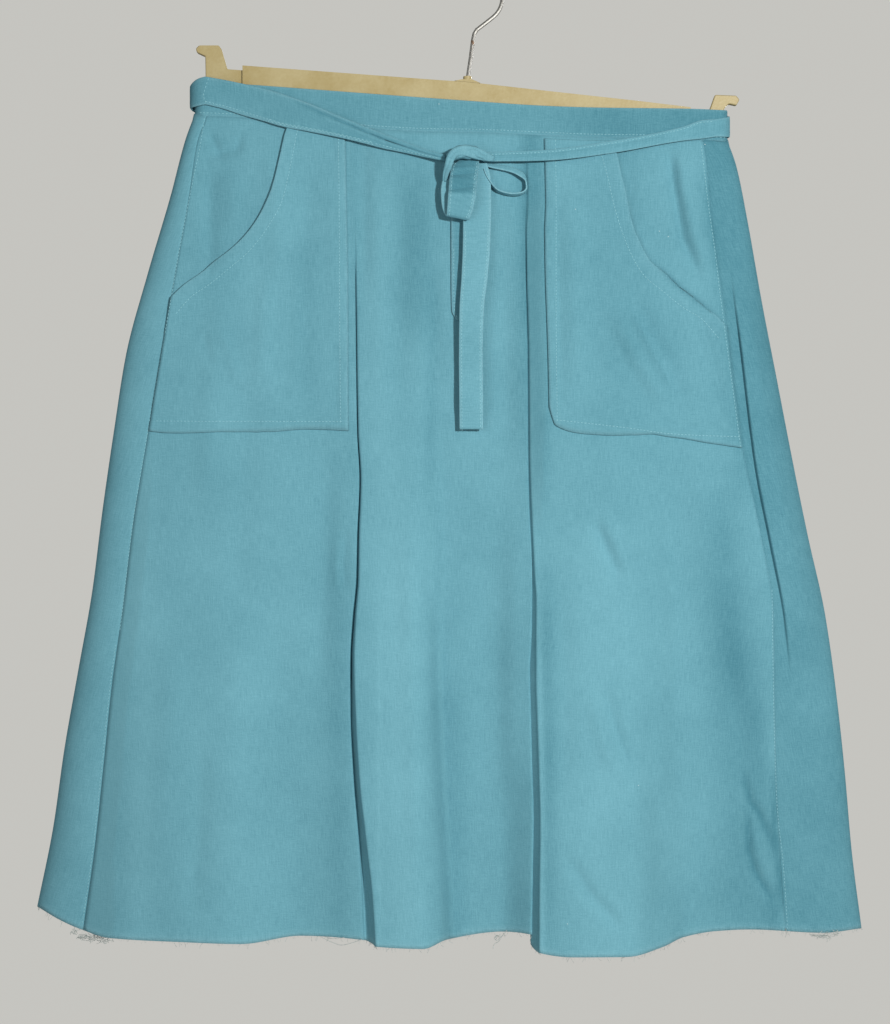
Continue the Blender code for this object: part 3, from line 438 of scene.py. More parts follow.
def add_shell(name, grid, wall, finish, middle=0, under=None, worn=None, tone=None, uv=None,
              slit=None):
    """A cloth piece from a grid of columns by rows, in millimetres, with its wall's thickness.

    slit is the first and last column and the first and last row of a hole."""
    columns, rows = grid.shape[:2]
    half = np.broadcast_to(np.asarray(wall, float) / 2, (columns, rows))[..., None]
    normal = normals_of(grid)
    points = np.concatenate([(grid + normal * half).reshape(-1, 3), (grid - normal * half).reshape(-1, 3)])
    index = np.arange(columns * rows).reshape(columns, rows)
    inner = index + columns * rows

    def quads(a, b, c, d):
        return np.stack([a, b, c, d], axis=-1).reshape(-1, 4)

    def rims(first, last, top, foot, turned):
        """The four rims of a block of cells, turned outwards, or inwards round a hole."""
        block, behind = index[first:last + 1, top:foot + 1], inner[first:last + 1, top:foot + 1]
        walls = [quads(block[:-1, 0], block[1:, 0], behind[1:, 0], behind[:-1, 0]),
                 quads(block[1:, -1], block[:-1, -1], behind[:-1, -1], behind[1:, -1]),
                 quads(block[0, 1:], block[0, :-1], behind[0, :-1], behind[0, 1:]),
                 quads(block[-1, :-1], block[-1, 1:], behind[-1, 1:], behind[-1, :-1])]
        return [wall[:, ::-1] if turned else wall for wall in walls]

    front = quads(index[:-1, :-1], index[:-1, 1:], index[1:, 1:], index[1:, :-1])
    back = quads(inner[:-1, :-1], inner[1:, :-1], inner[1:, 1:], inner[:-1, 1:])
    faces = rims(0, columns - 1, 0, rows - 1, False)
    if slit:
        first, last, top, foot = slit
        whole = np.ones((columns - 1, rows - 1), bool)
        whole[first:last, top:foot] = False
        front, back = front[whole.ravel()], back[whole.ravel()]
        faces += rims(first, last, top, foot, True)
    faces = np.concatenate([front, back] + faces)
    mesh = bpy.data.meshes.new(name)
    mesh.from_pydata((points * MM).tolist(), [], faces.tolist())
    mesh.shade_smooth()
    u, v = lengths_from(grid, middle) if uv is None else uv
    lay_weave(mesh, np.stack([np.tile(u.ravel(), 2), np.tile(v.ravel(), 2)], axis=1))
    for title, values in (("under", under), ("worn", worn), ("tone", tone)):
        values = np.zeros((columns, rows)) if values is None else np.broadcast_to(values, (columns, rows))
        add_points(mesh, title, np.tile(values.ravel(), 2))
    if slit:
        tidy = bmesh.new()
        tidy.from_mesh(mesh)
        bmesh.ops.delete(tidy, geom=[point for point in tidy.verts if not point.link_faces], context="VERTS")
        tidy.to_mesh(mesh)
        tidy.free()
    mesh.materials.append(finish)
    return add_object(name, mesh)


def ring_faces(count, sides):
    """The faces between rings of points, open at both ends."""
    index = np.arange(count * sides).reshape(count, sides)
    after = np.roll(index, -1, axis=1)
    return np.stack([index[:-1], after[:-1], after[1:], index[1:]], axis=-1).reshape(-1, 4).tolist()


def closed_mesh(name, points, faces, finish):
    """A smooth mesh from points in millimetres, with every face turned outwards."""
    mesh = bpy.data.meshes.new(name)
    mesh.from_pydata((np.array(points) * MM).tolist(), [], faces)
    mend = bmesh.new()
    mend.from_mesh(mesh)
    bmesh.ops.recalc_face_normals(mend, faces=mend.faces)
    mend.to_mesh(mesh)
    mend.free()
    mesh.shade_smooth()
    mesh.materials.append(finish)
    return mesh


def cloth_area(piece):
    return sum(face.area for face in piece.data.polygons) / 2


def finish_piece(piece, slot, *nodes):
    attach(piece, "root")
    if nodes:
        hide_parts(*nodes)


print("cloth is", CLOTH_WALL, "mm thick")

# %% [markdown]
# ## Finishes
#
# The cotton is a plain weave of uneven yarn. Its threads are too fine to model, so a node group gives
# their height, and the slubs, the thick places of a yarn that run along and across the cloth, give
# most of what the eye sees. It reads the UV map in true lengths, so the yarns bend with the cloth.
# Two colours of a faded dye are mixed by the yarns and by a slow mottle. The under and worn values of
# the points shift them, and so does their tone, which is mostly painted shade and painted light.

# %% Node helpers
def set_inputs(node, values):
    for name, value in values.items():
        node.inputs[name].default_value = value


def add_node(tree, kind, values=None, **settings):
    node = tree.nodes.new(kind)
    for name, value in settings.items():
        setattr(node, name, value)
    set_inputs(node, values or {})
    return node


def join(tree, pairs):
    for output, socket in pairs:
        tree.links.new(output, socket)


def maths(tree, operation, first, second):
    node = add_node(tree, "ShaderNodeMath", operation=operation)
    for socket, value in zip(node.inputs, (first, second)):
        if isinstance(value, (int, float)):
            socket.default_value = value
        else:
            tree.links.new(value, socket)
    return node.outputs[0]


def blend_colours(tree, share, first, second, blend="MIX"):
    node = add_node(tree, "ShaderNodeMix", data_type="RGBA", blend_type=blend)
    sockets = [s for s in node.inputs if s.enabled]
    for socket, value in zip(sockets, (share, first, second)):
        if isinstance(value, (int, float)):
            socket.default_value = value
        elif isinstance(value, tuple):
            socket.default_value = (*value, 1.0)
        else:
            tree.links.new(value, socket)
    return [o for o in node.outputs if o.enabled][0]


def noise_of(tree, place, scale, detail=2.0, roughness=0.5):
    node = add_node(tree, "ShaderNodeTexNoise", {"Scale": scale, "Detail": detail, "Roughness": roughness})
    tree.links.new(place, node.inputs["Vector"])
    return node.outputs["Fac"]


def stretched(tree, place, scale):
    node = add_node(tree, "ShaderNodeMapping", {"Scale": scale})
    tree.links.new(place, node.inputs["Vector"])
    return node.outputs["Vector"]


def spread(tree, value, low, high, to_low=0.0, to_high=1.0):
    limits = {"From Min": low, "From Max": high, "To Min": to_low, "To Max": to_high}
    node = add_node(tree, "ShaderNodeMapRange", limits)
    tree.links.new(value, node.inputs["Value"])
    return node.outputs["Result"]


# %% The weave, built once
weave = bpy.data.node_groups.new("Plain weave", "ShaderNodeTree")
weave.interface.new_socket("Place", in_out="INPUT", socket_type="NodeSocketVector")
pitch_socket = weave.interface.new_socket("Thread pitch", in_out="INPUT", socket_type="NodeSocketFloat")
pitch_socket.default_value = 0.0006
for title in ("Threads", "Slubs", "Mottle", "Lint"):
    weave.interface.new_socket(title, in_out="OUTPUT", socket_type="NodeSocketFloat")
weave_in = weave.nodes.new("NodeGroupInput")
weave_out = weave.nodes.new("NodeGroupOutput")
place = weave_in.outputs["Place"]
parts = weave.nodes.new("ShaderNodeSeparateXYZ")
weave.links.new(place, parts.inputs[0])
waves_of_thread = []
for k in (0, 1):
    count = maths(weave, "DIVIDE", parts.outputs[k], weave_in.outputs["Thread pitch"])
    waves_of_thread.append(maths(weave, "SINE", maths(weave, "MULTIPLY", count, math.pi), 0.0))
threads = spread(weave, maths(weave, "MULTIPLY", *waves_of_thread), -1.0, 1.0)
slubs_across = noise_of(weave, stretched(weave, place, (140.0, 1500.0, 1.0)), 1.0, 3.0, 0.6)
slubs_down = noise_of(weave, stretched(weave, place, (1500.0, 90.0, 1.0)), 1.0, 3.0, 0.6)
grain = maths(weave, "MULTIPLY", noise_of(weave, place, 1000.0, 2.0, 0.6), 0.34)
slubs = maths(weave, "ADD", maths(weave, "ADD", maths(weave, "MULTIPLY", slubs_across, 0.36),
                                  maths(weave, "MULTIPLY", slubs_down, 0.48)), grain)
mottle = noise_of(weave, place, 17.0, 4.0, 0.6)
cells = add_node(weave, "ShaderNodeTexVoronoi", {"Scale": 150.0})
weave.links.new(place, cells.inputs["Vector"])
speck = maths(weave, "LESS_THAN", cells.outputs["Distance"], 0.055)
chosen = add_node(weave, "ShaderNodeSeparateColor")
weave.links.new(cells.outputs["Color"], chosen.inputs[0])
lint = maths(weave, "MULTIPLY", speck, maths(weave, "GREATER_THAN", chosen.outputs[0], 0.985))
join(weave, zip((threads, slubs, mottle, lint), weave_out.inputs))
print("weave group has", len(weave.nodes), "nodes")

# %% Faded turquoise cotton
def new_finish(name, roughness, metallic=0.0):
    finish = bpy.data.materials.new(name)
    finish.use_nodes = True
    shader = finish.node_tree.nodes["Principled BSDF"]
    set_inputs(shader, {"Roughness": roughness, "Metallic": metallic})
    return finish, finish.node_tree, shader


def read_points(tree, name):
    return add_node(tree, "ShaderNodeAttribute", attribute_name=name).outputs["Fac"]


def wire_up(tree, shader, colour, height, strength, distance, roughness=None):
    """Gives a shader its colour, its relief through a bump, and its roughness."""
    bump = add_node(tree, "ShaderNodeBump", {"Strength": strength, "Distance": distance})
    join(tree, [(colour, shader.inputs["Base Color"]), (height, bump.inputs["Height"]),
                (bump.outputs["Normal"], shader.inputs["Normal"])])
    if roughness:
        tree.links.new(roughness, shader.inputs["Roughness"])


DYE_DEEP = (0.062, 0.205, 0.262)
DYE_FADED = (0.190, 0.440, 0.525)
DYE_GREY = (0.118, 0.272, 0.322)
DYE_WORN = (0.270, 0.500, 0.570)
LINT_COLOUR = (0.42, 0.55, 0.56)


def cotton_finish():
    finish, tree, shader = new_finish("faded_turquoise_cotton", 0.92)
    shader.inputs["Sheen Weight"].default_value = 0.03
    shader.inputs["Sheen Roughness"].default_value = 0.45
    shader.inputs["Specular IOR Level"].default_value = 0.12
    cloth_place = add_node(tree, "ShaderNodeUVMap", uv_map="Cloth").outputs["UV"]
    cloth = add_node(tree, "ShaderNodeGroup", node_tree=weave)
    cloth.inputs["Thread pitch"].default_value = 0.00055
    tree.links.new(cloth_place, cloth.inputs["Place"])
    yarns = maths(tree, "ADD", spread(tree, cloth.outputs["Slubs"], 0.45, 0.73, 0.32, 0.68),
                  spread(tree, cloth.outputs["Mottle"], 0.3, 0.7, -0.08, 0.08))
    # The points' tone, mostly painted shade and painted light, shifts the mix of the yarns
    tone = maths(tree, "ADD", yarns, read_points(tree, "tone"))
    dyed = blend_colours(tree, tone, DYE_DEEP, DYE_FADED)
    greyed = blend_colours(tree, maths(tree, "MULTIPLY", read_points(tree, "under"), 0.30), dyed, DYE_GREY)
    patches = spread(tree, cloth.outputs["Slubs"], 0.48, 0.7, 0.25, 0.9)
    worn = blend_colours(tree, maths(tree, "MULTIPLY", read_points(tree, "worn"), patches), greyed, DYE_WORN)
    dusted = blend_colours(tree, cloth.outputs["Lint"], worn, LINT_COLOUR)
    threads_height = maths(tree, "MULTIPLY", cloth.outputs["Threads"], 0.35)
    wire_up(tree, shader, dusted, maths(tree, "ADD", threads_height, cloth.outputs["Slubs"]), 0.3, 0.0004,
            roughness=spread(tree, cloth.outputs["Slubs"], 0.3, 0.7, 0.96, 0.86))
    return finish


cotton = cotton_finish()
print("cotton has", len(cotton.node_tree.nodes), "nodes")

# %% [markdown]
# The sewing thread is a shade paler than the cloth. The plastic of the bar has aged unevenly: it is
# ivory with a yellow mottle and a few brown spots, dull where it was handled. The wire is plain bright
# steel that has gone grey, finely drawn along its length, with a few rust freckles.

# %% Thread, plastic and wire
def thread_finish(name, pale, dark):
    finish, tree, shader = new_finish(name, 0.8)
    here = add_node(tree, "ShaderNodeTexCoord").outputs["Object"]
    mixed = blend_colours(tree, noise_of(tree, here, 900.0, 2.0), dark, pale)
    wire_up(tree, shader, mixed, noise_of(tree, here, 5000.0, 1.0), 0.4, 0.0001)
    return finish


seam_thread = thread_finish("pale_sewing_thread", (0.36, 0.66, 0.72), (0.22, 0.50, 0.57))
raw_thread = thread_finish("raw_edge_thread", (0.68, 0.71, 0.67), (0.22, 0.28, 0.29))


def plastic_finish():
    finish, tree, shader = new_finish("aged_ivory_plastic", 0.45)
    shader.inputs["Coat Weight"].default_value = 0.08
    here = add_node(tree, "ShaderNodeTexCoord").outputs["Object"]
    slow, fine = noise_of(tree, here, 38.0, 5.0, 0.65), noise_of(tree, here, 420.0, 3.0, 0.6)
    tone = maths(tree, "ADD", spread(tree, slow, 0.32, 0.68, 0.0, 0.8),
                 spread(tree, fine, 0.3, 0.7, -0.12, 0.22))
    ivory = blend_colours(tree, tone, (0.37, 0.29, 0.125), (0.445, 0.375, 0.195))
    stains = maths(tree, "MULTIPLY", spread(tree, noise_of(tree, here, 85.0, 6.0, 0.75), 0.62, 0.76), 0.4)
    aged = blend_colours(tree, stains, ivory, (0.22, 0.145, 0.06))
    wire_up(tree, shader, aged, fine, 0.3, 0.0004, roughness=spread(tree, slow, 0.3, 0.7, 0.34, 0.56))
    return finish


def wire_finish():
    finish, tree, shader = new_finish("drawn_steel_wire", 0.38, 0.85)
    here = add_node(tree, "ShaderNodeTexCoord").outputs["Object"]
    drawn, spots = noise_of(tree, here, 900.0, 3.0), noise_of(tree, here, 160.0, 5.0, 0.7)
    steel = blend_colours(tree, spread(tree, drawn, 0.3, 0.7), (0.24, 0.235, 0.22), (0.42, 0.415, 0.39))
    rusted = blend_colours(tree, spread(tree, spots, 0.62, 0.72), steel, (0.20, 0.11, 0.06))
    wire_up(tree, shader, rusted, drawn, 0.25, 0.0002, roughness=spread(tree, drawn, 0.3, 0.7, 0.30, 0.52))
    return finish


plastic, steel = plastic_finish(), wire_finish()
print("finishes:", ", ".join(finish.name for finish in (cotton, seam_thread, raw_thread, plastic, steel)))

# %% [markdown]
# ## Front panel
#
# The front is one A-line panel. Beside the centre it drops back into two narrow flutes. They begin as
# soft valleys under the waist, close to sharp lines, and open again towards the hem. It could be
# draped by a cloth simulation, but the places of the folds are known from the real skirt, so its
# columns follow the tables directly. Near the lip of a flute the cloth rolls over on a small radius.
# Columns stand closer together there to keep it round. The creases are pressed in last, and fade out
# at the side seams and at the waist, where the panel is held.

# %% Surface of the front
LIP_RADIUS = 1.3
SECTION_COLUMNS = {"left": 62, "centre": 44, "right": 60}
ROLL_SHARES = np.array([0.002, 0.005, 0.009, 0.018])
FRONT_ROWS = 200
FLUTE_COLUMNS = 7
# Inside the right flute the cloth drops down at once and lies over to the left
FLUTE_DROP, FLUTE_LEAN = 0.35, 2.2
TUCKED = 2.0
LIPS = {"left": (False, True), "centre": (True, True), "right": (True, False)}


def edges(section, v):
    if section == "left":
        return along(OUTLINE, v, "left_seam"), along(LEFT_FLUTE, v, "left")
    if section == "centre":
        return along(LEFT_FLUTE, v, "right"), along(RIGHT_FLUTE, v, "left")
    return along(RIGHT_FLUTE, v, "right"), along(OUTLINE, v, "right_seam")


def wave_depth(section, f, v):
    hem = DEPTHS["front"][-1]
    return along(DEPTHS, v, "front") + along(DEPTHS, v, "waves") * (along(WAVES[section], f, "depth") - hem)


def height_of(hem, x_waist, x_hem, v):
    return mix(along(WAIST, x_waist, "seam") - SEAM_GAP, along(hem, x_hem, "height"), v)


def roll(away, radius):
    """How far the cloth has turned back at a distance from a lip."""
    inside = np.clip(radius - away, 0.0, radius)
    return radius - np.sqrt(np.maximum(radius ** 2 - inside ** 2, 0.0))


def front_points(section, f, v):
    """Points of the pressed front panel, with their x and z on the hanger's plane."""
    f, v = np.broadcast_arrays(np.asarray(f, float), np.asarray(v, float))
    left, right = edges(section, v)
    x = mix(left, right, f)
    waist_left, waist_right = edges(section, np.zeros_like(v))
    hem_left, hem_right = edges(section, np.ones_like(v))
    z = height_of(FRONT_HEM, mix(waist_left, waist_right, f), mix(hem_left, hem_right, f), v)
    y = wave_depth(section, f, v)
    held = smooth_step(v, 0.0, 0.035)
    if section == "left":
        held = held * smooth_step(x - left, 0.0, 12.0)
    if section == "right":
        held = held * smooth_step(right - x, 0.0, 12.0)
    y = y - held * (CREASE_RELIEF * press(x, z, CREASES[section]) + ripple(x, z, 0.35))
    for is_lip, away, flute in ((LIPS[section][0], x - left, "left"), (LIPS[section][1], right - x, "right")):
        if is_lip:
            rows = LEFT_FLUTE if (section, flute) in (("left", "right"), ("centre", "left")) else RIGHT_FLUTE
            y = y + roll(away, np.minimum(LIP_RADIUS, 0.4 * along(rows, v, "depth")))
    return on_sight_line(x, z, y), x, z


def section_shares(section):
    f = np.linspace(0.0, 1.0, SECTION_COLUMNS[section])
    at_left = ROLL_SHARES if LIPS[section][0] else []
    at_right = 1.0 - ROLL_SHARES if LIPS[section][1] else []
    return np.sort(np.concatenate([f, at_left, at_right]))


def flute_columns(before, after, rows, drop=1.0, lean=0.0):
    """The columns down inside a flute, between its two lips."""
    columns = []
    deep = along(rows, rows_down[0], "depth")
    closed = smooth_step(deep, 1.5, 4.0)
    for share in np.linspace(0.0, 1.0, FLUTE_COLUMNS + 2)[1:-1]:
        inward = math.sin(math.pi * share) ** 0.6
        column = mix(before, after, share)
        column[:, 1] += deep * inward
        column[:, 0] -= lean * closed * inward
        column[:, 2] = mix(before[:, 2], after[:, 2], mix(share, share ** drop, closed))
        columns.append(column)
    return np.array(columns)


rows_down = np.linspace(0.0, 1.0, FRONT_ROWS)[None, :]
sections = {part: front_points(part, section_shares(part)[:, None], rows_down) for part in WAVES}
(left_grid, left_x, _), (centre_grid, centre_x, _), (right_grid, right_x, right_z) = sections.values()
front_grid = np.concatenate([
    left_grid,
    flute_columns(left_grid[-1], centre_grid[0], LEFT_FLUTE),
    centre_grid,
    flute_columns(centre_grid[-1], right_grid[0], RIGHT_FLUTE, FLUTE_DROP, FLUTE_LEAN),
    right_grid,
])
front_grid[:, 0, 2] += TUCKED
print("front grid", front_grid.shape[:2], "lowest", round(float(front_grid[..., 2].min()), 1), "mm")

# %% [markdown]
# The cloth looks greyer where a second layer lies behind it. On the left that is a strip beside the
# side seam, which starts half way down. On the right it is the strip between the flute's lip and the
# pocket. Both are marked on the points, and the panel is a touch proud there.

# %% Front panel
ALLOWANCE_LEFT = table("z width", (-720.0, 23.0), (-690.0, 19.5), (-650.0, 14.5), (-610.0, 15.5),
                       (-560.0, 14.0), (-520.0, 14.0), (-440.0, 13.0), (-385.0, 9.0), (-350.0, 4.0),
                       (-330.0, 0.5))
ALLOWANCE_RIGHT = table("z width", (-420.0, 6.0), (-360.0, 10.5), (-280.0, 12.0), (-170.0, 11.0),
                        (-150.0, 1.0))
# Painted light that lifts the shaded floor of each flute once it has opened
FLUTE_PAINTED_LIGHT = 0.12
SEAM_WALL = 0.3
RUBBED_HEM = 0.6


def allowance(section, widths, start, end):
    """How far an allowance lies behind each point, in a strip at the section's left edge."""
    _, x, z = sections[section]
    return smooth_step(along(widths, z, "width") - (x - x[:1]), -1.0, 1.5) * smooth_step(-z, start, end)


def flute_painted_shading(before, after):
    """Painted shading inside a flute: that of its lips at the waist, and a painted light of its own below."""
    opened = smooth_step(rows_down, 0.18, 0.32)
    return between + mix((painted_shading[before][-1] + painted_shading[after][0]) / 2, FLUTE_PAINTED_LIGHT, opened)


def rubbed_hem(rows):
    return RUBBED_HEM * smooth_step(np.linspace(0.0, 1.0, rows)[None, :], 0.992, 1.0)


between = np.zeros((FLUTE_COLUMNS, FRONT_ROWS))
right_under = allowance("right", ALLOWANCE_RIGHT, 150.0, 190.0) * smooth_step(right_z, -425.0, -395.0)
front_under = np.concatenate([allowance("left", ALLOWANCE_LEFT, 345.0, 400.0), between,
                              np.zeros_like(centre_x), between, right_under])
# Painted shade and painted light of each section of the front, from the strokes
painted_shading = {part: press(x, z, PAINTED_SHADING_STROKES) for part, (_, x, z) in sections.items()}
front_painted_shading = np.concatenate([painted_shading["left"], flute_painted_shading("left", "centre"), painted_shading["centre"],
                             flute_painted_shading("centre", "right"), painted_shading["right"]])
# The panel is pressed thin towards its side seams
pressed = np.ones_like(front_painted_shading)
pressed[:len(left_x)] = smooth_step(left_x - left_x[:1], 0.0, 5.0)
pressed[-len(right_x):] = smooth_step(right_x[-1:] - right_x, 0.0, 5.0)
front_wall = mix(SEAM_WALL, CLOTH_WALL + 0.3 * front_under, pressed)
front_panel = add_shell("front_panel_cloth", front_grid, front_wall, cotton, middle=front_grid.shape[0] // 2,
                        under=front_under, worn=rubbed_hem(FRONT_ROWS), tone=front_painted_shading)
finish_piece(front_panel, "cotton", "front_panel")
print("front panel area", round(cloth_area(front_panel), 4), "m2")

# %% [markdown]
# ## Back panels
#
# Each back panel starts under the front panel's edge, comes round the side fold and runs to its free
# edge at the centre back, where the two lie over each other. Their surfaces come from the tables as
# well. The free edges have a narrow hem, raised a little because the cloth is turned under there.
# Nobody sees the back in front view, so its creases are few and long, like those of the front.

# %% Surface of the back
BAND_LEFT, BAND_RIGHT = -210.5, 187.5
BAND_DEPTH = 7.5
BAND_LAYER = 2.4
OVERLAP = 75.0
BACK_CURVE = 26.0
TUCK = 3.5
HEM_TURN = 8.0
FOLD_WIDTH, FOLD_HEIGHT = 2.4, 4.0
BACK_ROWS = 190
# Each back panel starts this far behind the front panel's edge and inside it
BEHIND_PANEL, INSIDE_EDGE, TUCK_DEPTH = 0.66, 0.4, 1.5
# Its columns as shares of the way to the tip of the side fold, and from there across the back
SIDE_SHARES = [0.04, 0.09, 0.13, *np.linspace(0.15, 0.35, 15), 0.38, 0.42, 0.48, 0.54, 0.6, 0.67, 0.74, 0.81,
               0.87, 0.92, 0.96, 0.985]
TURN_SHARES = [0.0, 0.003, 0.007, 0.012, 0.018, 0.025, 0.034, 0.045]
BACK_CREASES = [
    ([(-150, -130), (-158, -260), (-170, -420)], 12.0, -1.4),
    ([(-110, -150), (-112, -330), (-118, -560)], 14.0, 1.5),
    ([(-190, -300), (-208, -460), (-230, -690)], 13.0, 1.3),
    ([(-62, -140), (-60, -260), (-58, -420)], 10.0, -1.1), ([(20, -130), (24, -250), (30, -420)], 9.0, 1.1),
    ([(52, -260), (56, -420), (58, -640)], 11.0, -1.3),
    ([(110, -130), (120, -280), (132, -420)], 12.0, -1.4),
    ([(150, -200), (168, -380), (186, -600)], 13.0, 1.5),
    ([(196, -360), (214, -500), (234, -690)], 11.0, -1.2),
    ([(-20, -400), (-18, -540), (-22, -700)], 12.0, 1.3),
    ([(100, -500), (106, -600), (104, -705)], 9.0, -1.5),
    ([(-146, -520), (-150, -620), (-156, -705)], 10.0, -1.4),
]


def round_end(share, power):
    return (1 - (1 - np.clip(share, 0.0, 1.0)) ** power) ** (1 / power)


def side_points(side, share, v):
    """Points between a side seam (share 0) and the tip of the side fold (share 1), on the front."""
    seam, tip = side + "_seam", side + "_end"

    def reach(row):
        return mix(along(OUTLINE, row, seam), along(OUTLINE, row, tip), share)

    x = reach(v)
    z = height_of(FRONT_HEM, reach(np.zeros_like(v)), reach(np.ones_like(v)), v)
    at_seam = wave_depth(side, 0.0 if side == "left" else 1.0, v)
    y = mix(along(DEPTHS, v, "middle"), at_seam, round_end(1 - share, 2.2))
    if side == "right":
        rise = np.clip(0.5 + (x - along(SIDE_FOLD, v, "x")) / FOLD_WIDTH, 0.0, 1.0)
        fold = FOLD_HEIGHT * along(SIDE_FOLD, v, "lift") * rise * rise * (3 - 2 * rise)
        y = y - fold * min(1.0, (1 - share) / 0.4)
    return on_sight_line(x, z, y)


def back_points(x_share, v, layer):
    def reach(row):
        return mix(along(OUTLINE, row, "left_end"), along(OUTLINE, row, "right_end"), x_share)

    x = reach(v)
    inset = min(x_share, 1 - x_share) * (along(OUTLINE, v, "right_end") - along(OUTLINE, v, "left_end"))
    curve = mix(BAND_DEPTH, BACK_CURVE, np.minimum(1.0, v / 0.5))
    deep = along(DEPTHS, v, "back") + along(BACK_WAVES, x_share, "depth") * along(DEPTHS, v, "waves")
    z = height_of(BACK_HEM, reach(np.zeros_like(v)), reach(np.ones_like(v)), v)
    swell = press(x, z, BACK_CREASES) * smooth_step(inset, 10.0, 40.0) * smooth_step(v, 0.0, 0.05)
    y = mix(along(DEPTHS, v, "middle"), deep, round_end(inset / curve, 2.0)) + layer + swell
    return np.stack([x, y, z], axis=-1)


def back_grid(side, free_share, layer):
    v = np.linspace(0.0, 1.0, BACK_ROWS)
    inward = 1 if side == "left" else -1
    first = side_points(side, 0.0, v)
    tuck = first + (inward * TUCK, TUCK_DEPTH, 0.0)
    start = first + (inward * INSIDE_EDGE, BEHIND_PANEL, 0.0)
    columns = [tuck, start] + [side_points(side, share, v) for share in SIDE_SHARES]
    reach = free_share if side == "left" else 1 - free_share
    for away in [*TURN_SHARES, *np.linspace(0.055, reach, 96)]:
        x_share = away if side == "left" else 1 - away
        lift = layer * min(1.0, max(0.0, (away - 0.04) / 0.10))
        columns.append(back_points(x_share, v, lift))
    grid = np.array(columns)
    grid[:, 0, 2] += TUCKED
    return grid


over_share, under_share = [(edge - BAND_LEFT) / (BAND_RIGHT - BAND_LEFT) for edge in (OVERLAP, -OVERLAP)]
down = np.linspace(0.0, 1.0, BACK_ROWS)
back_grids = {}
for name, side, free_share, layer in (("back_panel_over", "left", over_share, BAND_LAYER),
                                      ("back_panel_under", "right", under_share, 0.0)):
    grid = back_grid(side, free_share, layer)
    back_grids[name] = grid
    from_edge = np.linalg.norm(grid - grid[-1:], axis=2)
    turned = 1 - smooth_step(from_edge, HEM_TURN - 0.5, HEM_TURN + 1.0)
    if side == "left":
        grid, turned, tone = grid[::-1], turned[::-1], 0.03
    else:
        # Painted shade: the side strip seen in front view is darker, most of all at its top, the rest a
        # little
        on_front = 1 - smooth_step(np.arange(len(grid)), 28.0, 44.0)[:, None]
        tone = -0.04 - on_front * (0.20 + 0.14 * (1 - smooth_step(down, 0.3, 0.6)))
    panel = add_shell(name + "_cloth", grid, CLOTH_WALL + 0.5 * turned, cotton, middle=grid.shape[0] // 2,
                      under=0.5 * turned, worn=rubbed_hem(BACK_ROWS), tone=tone)
    finish_piece(panel, "cotton", name)
    print(name, "area", round(cloth_area(panel), 4), "m2")

# %% [markdown]
# ## Patch pockets
#
# A pocket is a patch that lies on the panel and follows its creases, so its points are the panel's own
# points moved out square to it. Its curved mouth is hemmed and stands open a little, which leaves a
# thin dark line of shade. The other edges are turned under by a finger's width, so the cloth is proud
# as far as the stitching, and drops behind it.

# %% Pockets
POCKET_STAND = 1.25
POCKET_GAPE = 1.5
TURNED_EDGE = 7.5
MOUTH_HEM = 8.5
POCKET_FOLDS = {
    "left": [([(-196, -262), (-186, -280), (-178, -312)], 4.0, 0.9),
             ([(-205, -268), (-198, -296)], 3.0, -0.8),
             ([(-157, -215), (-160, -262), (-162, -318)], 6.0, 1.2),
             ([(-142, -190), (-144, -250), (-146, -330)], 6.0, -1.1),
             ([(-124, -180), (-123, -240), (-120, -320)], 7.0, 0.9),
             ([(-190, -300), (-170, -322), (-140, -330)], 6.0, -0.6)],
    "right": [([(100, -245), (121, -284), (146, -330)], 8.0, 1.5),
              ([(112, -236), (136, -284), (160, -326)], 7.0, -1.3),
              ([(72, -150), (75, -230), (76, -320)], 8.0, 0.9),
              ([(58, -180), (60, -260), (58, -330)], 6.0, -0.7),
              ([(160, -245), (172, -280), (186, -330)], 6.0, -0.8)],
}


def pocket_grid(section, rows):
    """A pocket's points, with the wall, worn and under values of each, and their painted shade and light."""
    f = np.linspace(rows["f"][0], rows["f"][-1], 72)[:, None]
    down = np.concatenate([[0.0, 0.006, 0.014, 0.026], np.linspace(0.04, 0.98, 74), [1.0]])[None, :]
    v = mix(along(rows, f, "upper"), along(rows, f, "lower"), down)
    grid, x, z = front_points(section, f, v)
    mouth = np.stack([x[:, 0], z[:, 0]], axis=1)[along(rows, f[:, 0], "upper") > 0.01]
    foot = np.stack([x[:, -1], z[:, -1]], axis=1)
    side = -1 if section == "left" else 0
    upright = np.stack([x[side], z[side]], axis=1)
    from_mouth = nearest_on(x, z, mouth)[0]
    from_edge = np.minimum(nearest_on(x, z, foot)[0], nearest_on(x, z, upright)[0])
    hem = 1 - smooth_step(from_mouth, MOUTH_HEM - 1.0, MOUTH_HEM + 0.6)
    turned = 1 - smooth_step(from_edge, TURNED_EDGE - 0.8, TURNED_EDGE + 0.8)
    puffed = press(x, z, POCKET_FOLDS[section]) * smooth_step(from_edge, 1.0, 16.0)
    gape = POCKET_GAPE * (1 - smooth_step(from_mouth, 0.0, 34.0))
    stand = POCKET_STAND + gape + np.maximum(puffed, -0.6) + 0.6
    stand -= 0.6 * (1 - smooth_step(from_edge, 3.0, 20.0)) * smooth_step(from_mouth, 4.0, 30.0)
    grid = grid + normals_of(grid) * (stand + 0.25 * turned)[..., None]
    thinned = 1 - smooth_step(np.minimum(from_mouth, from_edge), 0.0, 1.2)
    wall = CLOTH_WALL + 0.5 * np.maximum(hem, turned) - 0.5 * thinned
    worn = np.maximum(0.25 * np.exp(-from_mouth / 1.3), 0.3 * np.exp(-from_edge / 1.2)) + 0.04 * hem
    return grid, wall, worn, 0.2 * turned, press(x, z, PAINTED_SHADING_STROKES)


